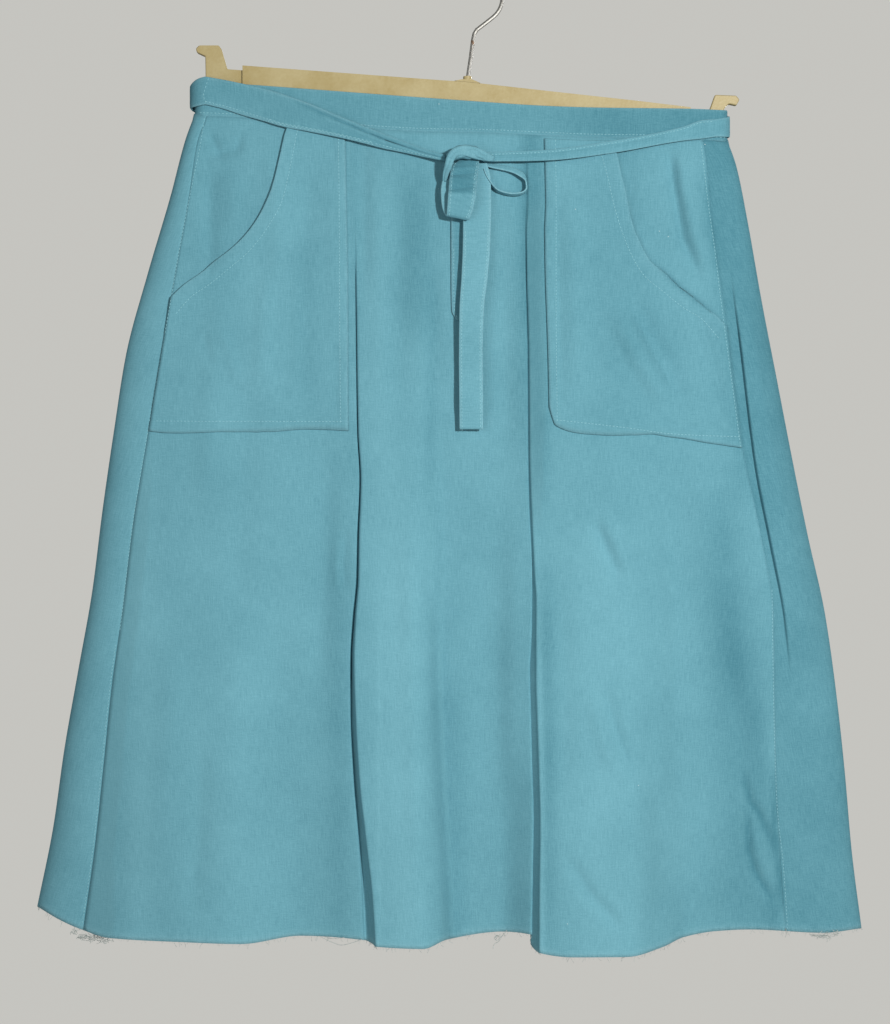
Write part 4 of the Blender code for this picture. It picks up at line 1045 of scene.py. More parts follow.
for section, rows in (("left", LEFT_POCKET), ("right", RIGHT_POCKET)):
    grid, wall, worn, under, tone = pocket_grid(section, rows)
    grain = (grid[..., 0] * MM, grid[..., 2] * MM)
    pocket = add_shell("pocket_" + section + "_cloth", grid, wall, cotton, worn=worn, under=under, tone=tone,
                       uv=grain)
    finish_piece(pocket, "cotton", "pocket_" + section)
    print(pocket.name, "area", round(cloth_area(pocket), 4), "m2")

# %% [markdown]
# ## Waistband
#
# The band is one folded strip. It starts at its under end inside the back, goes round the right side,
# the front and the left side, and lies over its start at the back, where a slit lets one tie through.
# The band is thick in the middle, thin at the stitching, and rounded where it is folded at the top.

# %% Waistband
SLIT_X, SLIT_WIDTH = -144.0, 12.0
SLIT_CELLS, SLIT_ROWS = 4, (2, 11)
BAND_WALL = 1.7
# The length over which the outer layer rises behind the left side
BAND_STEP = 28.0
BAND_ROWS = table("share wall", (0.0, 0.25), (0.02, 0.65), (0.06, 0.92), (0.12, 0.86), (0.2, 0.98),
                  (0.35, 1.0), (0.5, 1.0), (0.65, 1.0), (0.76, 0.97), (0.86, 0.78), (0.92, 0.9),
                  (0.97, 0.75), (1.0, 0.3))


def arc(centre, radius_x, radius_y, side, count):
    angles = np.linspace(0.0, math.pi, count + 1)[1:-1]
    return [(centre + side * radius_x * math.sin(a), radius_y * math.cos(a)) for a in angles]


def at_depth(x, y, z):
    """Points in front of the hanger's plane lie on the viewer's line of sight."""
    return np.where((y < 0)[..., None], on_sight_line(x, z, y), np.stack([x, y, z], axis=-1))


inner_right, inner_left = BAND_RIGHT - BAND_DEPTH, BAND_LEFT + BAND_DEPTH
over_back = BAND_DEPTH + BAND_LAYER
path = [(x, BAND_DEPTH) for x in np.linspace(-OVERLAP, inner_right, 70)]
path += arc(inner_right, BAND_DEPTH, BAND_DEPTH, 1, 14)
path += [(x, -BAND_DEPTH) for x in np.linspace(inner_right, inner_left, 150)]
path += arc(inner_left, BAND_DEPTH, -BAND_DEPTH, -1, 14)
for x in np.linspace(inner_left, inner_left + BAND_STEP, 12):
    step = smooth_step((x - inner_left) / BAND_STEP, 0.0, 1.0)
    path.append((x, BAND_DEPTH + BAND_LAYER * step))
slit_start, slit_end = SLIT_X - SLIT_WIDTH / 2, SLIT_X + SLIT_WIDTH / 2
path += [(x, over_back) for x in np.linspace(inner_left + BAND_STEP + 2.0, slit_start, 8)]
slit_column = len(path) - 1
path += [(x, over_back) for x in np.linspace(slit_start, slit_end, SLIT_CELLS + 1)[1:]]
path += [(x, over_back) for x in np.linspace(slit_end, OVERLAP, 70)[1:]]
px, py = np.array(path).T[:, :, None]
shares = BAND_ROWS["share"][None, :]
band_z = mix(along(WAIST, px, "top"), along(WAIST, px, "seam"), shares)
soft = 0.25 * np.sin(px / 17 + 2.0 * np.sin(px / 43)) * np.sin(math.pi * shares)
band_grid = at_depth(px + 0 * shares, py + 0 * shares, band_z)
band_grid = band_grid + normals_of(band_grid) * soft[..., None]
band_wall = BAND_WALL * BAND_ROWS["wall"][None, :] + 0 * px
band_worn = 0.7 * np.exp(-shares / 0.03) + 0.5 * np.exp(-(1 - shares) / 0.04) + 0 * px
# The band is darker than the panel, and a painted shade darkens it further towards the right
band_darkening = -0.17 - 0.20 * smooth_step(px, 40.0, 110.0) + 0 * shares
waistband = add_shell("waistband_cloth", band_grid, band_wall, cotton, worn=band_worn, tone=band_darkening,
                      slit=(slit_column, slit_column + SLIT_CELLS, *SLIT_ROWS))
finish_piece(waistband, "cotton", "waistband")
print("waistband area", round(cloth_area(waistband), 4), "m2, slit at column", slit_column)

# %% [markdown]
# ## Ties round the sides
#
# Both ties are folded strips as wide as a thumb, sewn along their edges. The right one carries on from
# the band's outer end and goes round the right side. The left one starts at the band's under end,
# comes out through the slit and goes round the left side. Towards the bow they are pulled narrow and
# crease along their length.

# %% Ties
TIE_WALL = 1.5
TIE_LAYER = 2.2
# A tie at the back keeps this far inside the band's edges, and takes this far to cross the slit
TIE_MARGIN = 2.5
TIE_CROSSING = 5.5
LEFT_TIE = table("x upper lower depth", (-203, -77.4, -98.4, -9.9), (-190, -79.8, -101.6, -9.9),
                 (-177.3, -82.4, -105.8, -10.2), (-160, -86.2, -110.7, -11.2),
                 (-144.6, -90.9, -115.2, -12.2), (-124.8, -98.0, -118.8, -13.2),
                 (-104.5, -106.4, -122.8, -13.6), (-83.5, -114.9, -127.8, -12.9),
                 (-69.8, -120.4, -131.4, -12.6), (-55.8, -125.6, -134.2, -12.8),
                 (-39.3, -131.6, -137.8, -14.2), (-22.9, -136.2, -141.2, -17.0))
RIGHT_TIE = table("x upper lower depth", (4.9, -134.4, -141.3, -17.5), (51.5, -132.4, -140.5, -15.6),
                  (103.2, -125.4, -134.6, -13.8), (154.6, -115.2, -125.6, -11.2), (170, -110.0, -124.0, -9.9),
                  (180, -109.3, -122.6, -9.9))
TIE_SHARES = np.array([0.0, 0.04, 0.12, 0.2, 0.28, 0.36, 0.43, 0.5, 0.57, 0.64, 0.72, 0.8, 0.88, 0.96, 1.0])
TIE_PROFILE = np.array([0.35, 0.8, 0.85, 1.0, 1.0, 1.0, 1.0, 1.0, 1.0, 1.0, 1.0, 1.0, 0.85, 0.8, 0.35])


def back_edges(x):
    return float(along(WAIST, x, "top")) - TIE_MARGIN, float(along(WAIST, x, "seam")) + TIE_MARGIN


def front_edges(rows, place):
    return rows["upper"][place], rows["lower"][place]


def side_turn(centre, radius, side, start, end, dip=0.0, puff=0.0):
    """The stretch round a side. Where it is pulled round, its upper edge dips."""
    turn = []
    for angle in np.linspace(0.0, math.pi, 15)[1:-1]:
        share = angle / math.pi
        turn.append((centre + side * (radius + puff) * math.sin(angle), radius * math.cos(angle),
                     mix(start[0], end[0], share) - dip * math.sin(angle) ** 3, mix(start[1], end[1], share)))
    return turn


def front_run(rows, first, last, count):
    return [tuple(float(along(rows, x, c)) if c else float(x) for c in ("", "depth", "upper", "lower"))
            for x in np.linspace(first, last, count)]


def even_steps(path, step):
    """The same path with its points a step apart, read smoothly."""
    path = np.array(path, float)
    run = np.concatenate([[0.0], np.cumsum(np.hypot(*np.diff(path[:, :2], axis=0).T))])
    rows = dict(zip(["run"] + [str(k) for k in range(path.shape[1])], np.vstack([run, path.T])))
    at = np.linspace(0.0, run[-1], int(run[-1] / step) + 1)
    return at, np.stack([along(rows, at, str(k)) for k in range(path.shape[1])], axis=1)


def add_tie(name, path, pleats, node, tone):
    """A tie along a path. Each pleat has its two ends, its shares across there, a width and a height."""
    run, path = even_steps(path, 2.2)
    x, y, upper, lower = path.T[:, :, None]
    z = mix(upper, lower, TIE_SHARES[None, :])
    grid = at_depth(x + 0 * z, y + 0 * z, z)
    lift = 0.22 * np.sin(run[:, None] / 9 + 2 * TIE_SHARES[None, :]) + 0 * z
    tone = tone + 0 * z
    for start, end, share_start, share_end, width, height in pleats:
        middle = mix(share_start, share_end, np.clip((x - start) / (end - start), 0, 1))
        fade = smooth_step(np.clip((x - start) / (end - start), 0, 1), 0.0, 0.12) * (y < 0)
        fold = np.exp(-((TIE_SHARES[None, :] - middle) / width) ** 2) * fade
        # Painted shade along a pleat that sinks and painted light along one that rises
        lift, tone = lift + height * fold, tone + 0.12 * height * fold
    grid = grid + normals_of(grid) * lift[..., None]
    wall = TIE_WALL * TIE_PROFILE[None, :] + 0 * z
    worn = 0.6 * np.exp(-np.minimum(TIE_SHARES, 1 - TIE_SHARES)[None, :] / 0.05) + 0 * z
    tie = add_shell(name, grid, wall, cotton, worn=worn, tone=tone)
    finish_piece(tie, "cotton", node)
    print(name, "run", round(float(run[-1])), "mm, area", round(cloth_area(tie), 5), "m2")


RIGHT_PLEATS = [(150.0, 5.0, 0.5, 0.46, 0.09, -0.6)]
LEFT_PLEATS = [(-142.0, -23.0, 0.05, 0.58, 0.08, -1.8), (-120.0, -23.0, 0.25, 0.8, 0.10, 0.8)]
outside, over_band = BAND_DEPTH + TIE_LAYER, over_back + TIE_LAYER
path = [(x, over_back, *back_edges(x)) for x in np.linspace(OVERLAP + SEAM_GAP, inner_right - 6, 20)]
path.append((inner_right, outside, *back_edges(inner_right)))
path += side_turn(inner_right, outside, 1, back_edges(inner_right), front_edges(RIGHT_TIE, -1))
path += front_run(RIGHT_TIE, inner_right, RIGHT_TIE["x"][0], 70)
add_tie("tie_right_cloth", path, RIGHT_PLEATS, "tie_right", -0.08)

under_slit = np.linspace(-OVERLAP - SEAM_GAP, SLIT_X + TIE_CROSSING, 10)
over_slit = np.linspace(SLIT_X - TIE_CROSSING, inner_left + 0.8 * BAND_STEP, 5)
path = [(x, BAND_DEPTH, *back_edges(x)) for x in under_slit]
path.append((SLIT_X, over_back, *back_edges(SLIT_X)))
path += [(x, over_band, *back_edges(x)) for x in over_slit]
path.append((inner_left + 0.3 * BAND_STEP, mix(outside, over_band, 0.4), *back_edges(inner_left)))
path.append((inner_left, outside, *back_edges(inner_left)))
path += side_turn(inner_left, outside, -1, back_edges(inner_left), front_edges(LEFT_TIE, 0), 4.0, 1.8)
path += front_run(LEFT_TIE, inner_left, LEFT_TIE["x"][-1], 80)
add_tie("tie_left_cloth", path, LEFT_PLEATS, "tie_left", -0.19)

# %% [markdown]
# ## The bow
#
# The left loop faces the viewer and hides most of its own back leg. The right loop is seen edge on, so
# it shows as a thin eye. The two ends hang under the knot. Each is a strip that follows a short table
# of its two edges as it runs, read smoothly. Its two long edges are sewn, so the strip is thin there.

# %% Loops and ends
LOOP_LEFT = table("k left right z off tilt", (0, -21.6, 0.5, -142.4, 8.0, 0),
                  (1, -24.9, -1.2, -152, 9.0, 0), (2, -26.8, -3.6, -164, 9.6, 0.5),
                  (3, -26.0, -5.2, -175, 9.8, 1.5), (4, -24.2, -5.8, -181, 10.2, 2.6),
                  (5, -23.2, -6.0, -183.2, 11.4, 3.4), (6, -22.5, -5.2, -182.2, 13.0, 3.2),
                  (7, -22.0, -2.8, -176.5, 14.8, 2.0), (8, -21.2, -0.4, -165, 15.4, 1.0),
                  (9, -20.2, 0.6, -153, 13.6, 0), (10, -18.6, 2.0, -144.0, 11.2, -2.5),
                  (11, -13.6, 1.8, -139.4, 9.0, -2.5))
END_LONG = table("k left right z off", (0, -8.0, 8.0, -142.4, 5.2), (1, -10.2, 10.8, -156, 5.4),
                 (2, -10.0, 11.0, -172, 6.2), (3, -10.2, 10.4, -200, 8.6), (4, -11.2, 8.6, -226, 9.2),
                 (5, -12.8, 5.6, -252, 9.2), (6, -13.2, 4.6, -284, 8.8), (7, -13.0, 4.9, -316, 8.4),
                 (8, -12.8, 5.0, -342, 7.2))
END_SHORT = table("k left right z off", (0, -14.0, 2.0, -142.4, 1.7), (1, -17.0, 1.0, -160, 1.7),
                  (2, -19.0, 1.0, -190, 1.7), (3, -19.0, 0.5, -225, 1.7), (4, -18.6, 0.0, -252, 1.7),
                  (5, -15.0, -1.0, -260, 1.7))
EYE = table("k x z", (0, 5.8, -142.8), (1, 9.5, -145.2), (2, 18, -147.2), (3, 26, -149.2), (4, 32, -152.0),
            (5, 36.8, -156.0), (6, 37.6, -160.5), (7, 34, -164.0), (8, 27, -164.9), (9, 17, -162.6),
            (10, 10.8, -156.5), (11, 7.2, -150.5), (12, 5.6, -146.4))
EYE_BACK = 1.8
EYE_WIDTH = table("k width", (0, 3.4), (1, 2.8), (5, 2.8), (7, 4.8), (12, 5.2))
BOW_WALL = 1.3


def centre_face(z):
    """Depth of the middle of the front at a height."""
    waist, hem = float(along(WAIST, 0, "seam")), float(along(FRONT_HEM, 0, "height"))
    return wave_depth("centre", 0.6, (z - waist) / (hem - waist))


def strip_grid(rows, count, creases=()):
    k = np.linspace(0, rows["k"][-1], count)[:, None]
    across = TIE_SHARES[None, :]
    x = mix(along(rows, k, "left"), along(rows, k, "right"), across)
    z = along(rows, k, "z") + 0 * across
    if "tilt" in rows:
        z = z + along(rows, k, "tilt") * (0.5 - across)
    off = along(rows, k, "off") + 0 * across
    for place, tilt, width, height in creases:
        off = off + height * np.exp(-((k - place - tilt * (across - 0.5)) / width) ** 2)
    return on_sight_line(x, z, centre_face(z) - off)


def add_strip(name, grid, node, tone=0.0):
    edge = np.minimum(TIE_SHARES, 1 - TIE_SHARES)[None, :] + 0 * grid[..., 0]
    strip = add_shell(name, grid, BOW_WALL * TIE_PROFILE[None, :], cotton, worn=0.75 * np.exp(-edge / 0.06),
                      tone=tone + 0 * edge)
    finish_piece(strip, "cotton", node)
    print(name, "area", round(cloth_area(strip), 5), "m2")


# Creases across a strip: place along it, slant, width and height
LOOP_CREASES = [(8.35, 0.3, 0.14, -1.5), (8.8, -0.3, 0.14, 1.2), (7.9, 0.2, 0.3, 0.6),
                (9.25, 0.2, 0.14, -1.5), (9.7, -0.2, 0.14, 0.9)]
END_CREASES = [(1.7, 0.4, 0.25, 0.7), (3.3, -0.3, 0.3, -0.6), (5.4, 0.3, 0.25, 0.7),
               (6.2, -0.2, 0.3, -0.6), (7.3, 0.25, 0.3, 0.6)]
# Painted shade: the loop's front leg is darker, most of all its upper part; the back leg a touch lighter
loop_run = np.linspace(0, LOOP_LEFT["k"][-1], 110)[:, None]
loop_painted_shade = np.where(loop_run < 5.2, 0.06, -0.10 - 0.36 * smooth_step(loop_run, 7.85, 8.15))
add_strip("loop_left_cloth", strip_grid(LOOP_LEFT, 110, LOOP_CREASES), "loop_left",
          tone=loop_painted_shade)
add_strip("tie_end_long_cloth", strip_grid(END_LONG, 120, END_CREASES), "tie_end_long",
          tone=0.05)
# The short end hangs behind the long one and is painted darker as its shadow
add_strip("tie_end_short_cloth", strip_grid(END_SHORT, 70), "tie_end_short", tone=-0.25)

# The right loop leans one way on its upper leg and the other way on its lower leg
k = np.linspace(0, EYE["k"][-1], 110)[:, None]
to_front = np.linspace(0.0, 1.0, len(TIE_SHARES))[None, :]
z = along(EYE, k, "z") + 0 * to_front
leaning = (0.8 + 2.1 * np.tanh((5.6 - k) / 0.7)) * np.sin(np.clip(k / 12, 0, 1) * math.pi) ** 0.5
y = centre_face(z) - EYE_BACK - along(EYE_WIDTH, k, "width") * to_front
eye = on_sight_line(along(EYE, k, "x") + 0 * to_front, z + 1.6 * leaning * (1 - to_front), y)
add_strip("loop_right_cloth", eye, "loop_right", tone=0.1)

# %% [markdown]
# ## The knot
#
# A knot in a flat strip is a lump with one strand pulled over it. The lump is a ring of sections that
# swell and shrink, dented by the pull. The strand is a flattened tube swept along a path of a few
# points, from the top of the knot over its left end and down behind the loop.

# %% Knot
KNOT = table("x middle height depth", (-22.5, -137.4, 4.4, 6.0), (-20, -136.8, 8.4, 11.0),
             (-15, -135.2, 10.4, 13.0), (-8, -133.8, 10.6, 13.4), (-1, -134.6, 10.0, 12.0),
             (4, -136.6, 7.4, 9.0), (7.5, -138.2, 5.0, 5.0))
KNOT_DEPTH = -21.0
STRAND = table("k x z y width thick", (0, 13.0, -139.2, -18.6, 4.0, 1.6), (1, 6.0, -137.2, -22.6, 6.6, 2.4),
               (2, -2.0, -134.4, -25.6, 8.4, 2.8), (3, -10.0, -132.8, -27.0, 8.0, 3.0),
               (4, -16.0, -134.2, -27.6, 7.2, 3.0), (5, -19.6, -139.0, -27.2, 6.6, 2.8),
               (6, -21.2, -144.6, -25.4, 5.6, 2.6), (7, -23.0, -150.0, -22.2, 4.4, 2.0),
               (8, -24.0, -156.0, -18.4, 3.0, 1.2))
FACETS = 32


def add_rings(name, rings, worn, node=None):
    """A closed cloth form from rings of points, with its two ends drawn together."""
    count, facets = rings.shape[:2]
    ends = rings[[0, -1]].mean(axis=1)
    points = np.concatenate([rings.reshape(-1, 3), ends])
    faces = ring_faces(count, facets)
    last = (count - 1) * facets
    faces += [((side + 1) % facets, side, count * facets) for side in range(facets)]
    faces += [(last + side, last + (side + 1) % facets, count * facets + 1) for side in range(facets)]
    mesh = closed_mesh(name, points, faces, cotton)
    steps = np.linalg.norm(np.diff(rings, axis=0), axis=2).mean(axis=1)
    run = np.concatenate([[0.0], np.cumsum(steps)])
    middle = rings[count // 2]
    round_it = np.linspace(0, 1, facets) * np.linalg.norm(middle - middle.mean(axis=0), axis=1).max() * 6
    places = np.zeros((len(points), 2))
    places[:count * facets, 0] = np.repeat(run, facets) * MM
    places[:count * facets, 1] = np.tile(round_it, count) * MM
    lay_weave(mesh, places)
    for title, values in (("under", 0.0), ("worn", worn), ("tone", 0.0)):
        add_points(mesh, title, np.full(len(points), values))
    finish_piece(add_object(name, mesh), "cotton", *([node] if node else []))


x = np.linspace(-22.5, 7.5, 44)[:, None]
angle = np.linspace(0.0, 2 * math.pi, FACETS, endpoint=False)[None, :]
pulled = 1 + 0.07 * np.sin(3 * angle + x / 2.6) + 0.05 * np.sin(5 * angle - x / 1.9)
lump_z = along(KNOT, x, "middle") + along(KNOT, x, "height") / 2 * pulled * np.cos(angle)
lump_y = KNOT_DEPTH + along(KNOT, x, "depth") / 2 * pulled * np.sin(angle)
lump = on_sight_line(x + 0 * angle, lump_z, lump_y)
add_rings("tie_knot_cloth", lump, 0.15, "tie_knot")

k = np.linspace(0, STRAND["k"][-1], 48)[:, None]
spine = np.concatenate([along(STRAND, k, "x"), along(STRAND, k, "y"), along(STRAND, k, "z")], axis=1)
ahead = np.gradient(spine, axis=0)
ahead /= np.linalg.norm(ahead, axis=1, keepdims=True)
sideways = np.cross(ahead, [0.0, -1.0, 0.0])
sideways /= np.linalg.norm(sideways, axis=1, keepdims=True)
facing = np.cross(sideways, ahead)
round_section = (np.cos(angle)[..., None] * sideways[:, None] * (along(STRAND, k, "width") / 2)[..., None]
                 * (1 + 0.05 * np.sin(k / 0.9))[..., None]
                 + np.sin(angle)[..., None] * facing[:, None] * (along(STRAND, k, "thick") / 2)[..., None])
groove = 0.6 * np.exp(-((np.cos(angle) - 0.25 - 0.2 * np.sin(k)) / 0.22) ** 2) * (np.sin(angle) > 0)
strand_rings = spine[:, None] + round_section - groove[..., None] * facing[:, None]
strand_rings = on_sight_line(strand_rings[..., 0], strand_rings[..., 2], strand_rings[..., 1])
add_rings("knot_strand", strand_rings, 0.25)
print("knot depth", round(float(strand_rings[..., 1].min()), 1), "mm")

# %% [markdown]
# ## Stitches
#
# Every seam was sewn by machine with one pale thread. A stitch is a short capsule that dips into the
# cloth at both ends. Thousands of them follow lines, so Geometry Nodes place them: a line becomes a
# curve, points are set along it a stitch apart, and a capsule is turned along the curve on each. The
# lines themselves are laid on the finished cloth along the viewer's sight lines, or straight from
# behind for the back, so that a stitch always touches its cloth.

# %% Lay lines on the cloth
STITCH_LIFT = 0.10
STITCH_PITCH = 2.6
STITCH_LENGTH = 1.9
THREAD = 0.42
SEAM_INSET = 2.8
EDGE_INSET = 7.2

cloth_pieces = [piece for piece in bpy.context.scene.objects
                if piece.type == "MESH" and piece.data.attributes.get("worn")]
places, cells_of_cloth, cloth_of_cell = [], [], []
for piece in cloth_pieces:
    flat_points = np.empty(len(piece.data.vertices) * 3)
    piece.data.vertices.foreach_get("co", flat_points)
    corner_of = corner_points(piece.data)
    starts = [face.loop_start for face in piece.data.polygons]
    sizes = [face.loop_total for face in piece.data.polygons]
    cells_of_cloth += [(corner_of[a:a + n] + len(places)).tolist() for a, n in zip(starts, sizes)]
    cloth_of_cell += [piece.name] * len(starts)
    places += flat_points.reshape(-1, 3).tolist()
all_cloth = BVHTree.FromPolygons(places, cells_of_cloth)
eye_point = Vector((VIEW_X, -VIEW_DISTANCE, VIEW_Z)) * MM


def on_cloth(x, z, from_behind=False, only=None):
    """The first point of cloth behind a point of the picture, or seen straight from behind.

    only is the start of a name, where the line may lie on no other cloth."""
    if from_behind:
        start, aim = Vector((x * MM, 0.3, z * MM)), Vector((0.0, -1.0, 0.0))
    else:
        start = eye_point
        aim = (Vector((x * MM, 0.0, z * MM)) - start).normalized()
    hit, normal, cell, _ = all_cloth.ray_cast(start, aim)
    if not hit or (only and not cloth_of_cell[cell].startswith(only)):
        return None
    return hit + normal * STITCH_LIFT * MM


def smooth_line(points, step):
    """Points a step apart on a smooth curve through the given ones."""
    points = np.array(points, float)
    run = np.concatenate([[0.0], np.cumsum(np.hypot(*np.diff(points, axis=0).T))])
    rows = {"run": run, "x": points[:, 0], "z": points[:, 1]}
    at = np.linspace(0.0, run[-1], max(int(run[-1] / step), 2))
    return np.stack([along(rows, at, "x"), along(rows, at, "z")], axis=1)


def lay_line(points, from_behind=False, only=None, step=2.0):
    """Unbroken stretches of a line on the cloth; it breaks where the cloth drops away."""
    stretches, stretch = [], []
    for x, z in smooth_line(points, step):
        place = on_cloth(x, z, from_behind, only)
        if place is None or (stretch and (place - stretch[-1]).length > 3.0 * step * MM):
            stretches.append(stretch)
            stretch = []
        if place is not None:
            stretch.append(place)
    return [part for part in stretches + [stretch] if len(part) > 2]


print("cloth to sew on:", len(cloth_pieces), "pieces,", len(cells_of_cloth), "faces")

# %% Trees that set small forms on lines
def build_tree(name, inputs):
    tree = bpy.data.node_groups.new(name, "GeometryNodeTree")
    tree.interface.new_socket("Geometry", in_out="INPUT", socket_type="NodeSocketGeometry")
    for title, kind in inputs:
        tree.interface.new_socket(title, in_out="INPUT", socket_type=kind)
    tree.interface.new_socket("Geometry", in_out="OUTPUT", socket_type="NodeSocketGeometry")
    return tree, tree.nodes.new("NodeGroupInput"), tree.nodes.new("NodeGroupOutput")


def add_linked(tree, kind, links, **settings):
    node = tree.nodes.new(kind)
    for name, value in settings.items():
        setattr(node, name, value)
    for socket, output in links.items():
        if isinstance(output, bpy.types.NodeSocket):
            tree.links.new(output, node.inputs[socket])
        else:
            node.inputs[socket].default_value = output
    return node


def points_apart(tree, given, spacing):
    """Points along the given line, as far apart as an input says."""
    curve = add_linked(tree, "GeometryNodeMeshToCurve", {"Mesh": given.outputs["Geometry"]})
    return add_linked(tree, "GeometryNodeCurveToPoints",
                      {"Curve": curve.outputs[0], "Length": given.outputs[spacing]}, mode="LENGTH")


def turned_about(tree, given, heading, amount, most):
    """A turn to a heading that is thrown off at random, by an input's amount of the most."""
    draw = add_linked(tree, "FunctionNodeRandomValue", {"Seed": given.outputs["Seed"]},
                      data_type="FLOAT_VECTOR")
    set_inputs(draw, {0: [-side for side in most], 1: most})
    off = add_linked(tree, "ShaderNodeVectorMath", {0: draw.outputs[0], "Scale": given.outputs[amount]},
                     operation="SCALE")
    aim = add_linked(tree, "ShaderNodeVectorMath", {0: heading, 1: off.outputs[0]}, operation="ADD")
    return add_linked(tree, "FunctionNodeAlignRotationToVector", {"Vector": aim.outputs[0]}, axis="Z")


def set_on_points(tree, given, result, spots, form, turn, scale):
    """Sets a form on each point, makes them real and gives them the finish."""
    placed = add_linked(tree, "GeometryNodeInstanceOnPoints",
                        {"Points": spots.outputs["Points"], "Instance": form.outputs[0],
                         "Rotation": turn.outputs[0], "Scale": scale.outputs[0]})
    real = add_linked(tree, "GeometryNodeRealizeInstances", {"Geometry": placed.outputs[0]})
    dressed = add_linked(tree, "GeometryNodeSetMaterial",
                         {"Geometry": real.outputs[0], "Material": given.outputs["Finish"]})
    tree.links.new(dressed.outputs[0], result.inputs[0])


stitching, given, result = build_tree("Run of stitches", [
    ("Pitch", "NodeSocketFloat"), ("Length", "NodeSocketFloat"), ("Thread", "NodeSocketFloat"),
    ("Unevenness", "NodeSocketFloat"), ("Seed", "NodeSocketInt"), ("Finish", "NodeSocketMaterial")])
holes = points_apart(stitching, given, "Pitch")
turn = turned_about(stitching, given, holes.outputs["Tangent"], "Unevenness", (1.0, 1.0, 1.0))
size = add_linked(stitching, "ShaderNodeCombineXYZ",
                  {"X": given.outputs["Thread"], "Y": given.outputs["Thread"], "Z": given.outputs["Length"]})
capsule = add_linked(stitching, "GeometryNodeMeshUVSphere", {"Segments": 6, "Rings": 4, "Radius": 0.5})
set_on_points(stitching, given, result, holes, capsule, turn, size)


def grow(name, stretches, tree, values, finish):
    """Bakes what a tree grows on lines into a plain mesh that rides with the skirt."""
    points, edges = [], []
    for stretch in stretches:
        first = len(points)
        points += [tuple(point) for point in stretch]
        edges += [(k, k + 1) for k in range(first, len(points) - 1)]
    lines = bpy.data.meshes.new(name)
    lines.from_pydata(points, edges, [])
    carrier = add_object(name + "_lines", lines)
    grower = carrier.modifiers.new("Grow", "NODES")
    grower.node_group = tree
    sockets = {item.name: item.identifier for item in tree.interface.items_tree if item.in_out == "INPUT"}
    for title, value in {**values, "Finish": finish}.items():
        grower[sockets[title]] = value
    bpy.context.view_layer.update()
    evaluated = carrier.evaluated_get(bpy.context.evaluated_depsgraph_get())
    mesh = bpy.data.meshes.new_from_object(evaluated)
    mesh.shade_smooth()
    mesh.name = name
    grown = add_object(name, mesh)
    bpy.data.objects.remove(carrier)
    finish_piece(grown, "cotton")
    print(name, len(mesh.polygons), "faces")


print("stitch tree has", len(stitching.nodes), "nodes")

# %% Lines of the front
FRONT_LINES = {
    "left_pocket_mouth": [(-134.1, -116.3), (-137.5, -134.0), (-142.0, -155.7), (-145.8, -170.3),
                          (-157.1, -191.1), (-170.3, -208.0), (-183.9, -219.9), (-201.5, -234.1),
                          (-213.7, -242.3), (-224.9, -254.7)],
    "left_pocket_edge": [(-103.6, -124.6), (-103.0, -169.9), (-102.7, -245.0), (-101.9, -336.1)],
    "left_pocket_foot": [(-101.9, -336.2), (-147.3, -336.1), (-192.3, -336.1), (-239.5, -335.7)],
    "right_pocket_edge": [(59.2, -123.4), (59.7, -169.9), (59.7, -245.0), (60.5, -335.0)],
    "right_pocket_foot": [(60.5, -335.0), (107.3, -340.2), (152.0, -345.8), (200.7, -347.7)],
    "right_pocket_mouth": [(90.8, -125.7), (94.0, -137.0), (98.2, -151.7), (102.7, -171.9), (112.1, -201.6),
                           (125.1, -225.9), (140.0, -238.6), (155.4, -250.9), (168.3, -258.7),
                           (181.1, -273.0)],
    "left_side_seam": [(-204.2, -109.2), (-207.2, -129.4), (-211.5, -149.7), (-222.8, -207.5),
                       (-229.5, -246.5), (-245.5, -337.2), (-258.0, -413.7), (-267.2, -491.7)],
    "right_side_seam_upper": [(168.6, -130.2), (174.8, -180.4), (178.4, -205.2), (183.0, -242.7),
                              (198.0, -354.5)],
    "right_side_seam_lower": [(221.6, -463.2), (222.9, -549.5), (225.2, -620.0), (227.4, -645.0),
                              (229.3, -660.0), (231.4, -686.0), (233.2, -716.0)],
    "left_tie_foot": [(-202.8, -96.2), (-190.4, -99.2), (-173.8, -104.2), (-157.0, -109.2)],
    "left_tie_pulled": [(-75.0, -128.0), (-60.0, -131.6), (-30, -138.4)],
    "left_tie_turn": [(-201.3, -79.6), (-203.2, -85.7), (-204.8, -91.9), (-203.2, -96.4)],
}
seam_v = np.linspace(0.65, 0.99, 24)
seam_x = along(OUTLINE, seam_v, "left_seam")
seam_z = height_of(FRONT_HEM, *[float(along(OUTLINE, v, "left_seam")) for v in (0.0, 1.0)], seam_v)
FRONT_LINES["left_side_seam_lower"] = np.stack([seam_x - 1.3, seam_z], axis=1)
band_x = np.linspace(-207.0, 186.0, 60)
FRONT_LINES["band_foot"] = np.stack([band_x, along(WAIST, band_x, "seam") + SEAM_INSET], axis=1)
tie_x = np.linspace(10.0, 176.0, 40)
FRONT_LINES["tie_upper"] = np.stack([tie_x, along(RIGHT_TIE, tie_x, "upper") - 1.7], axis=1)
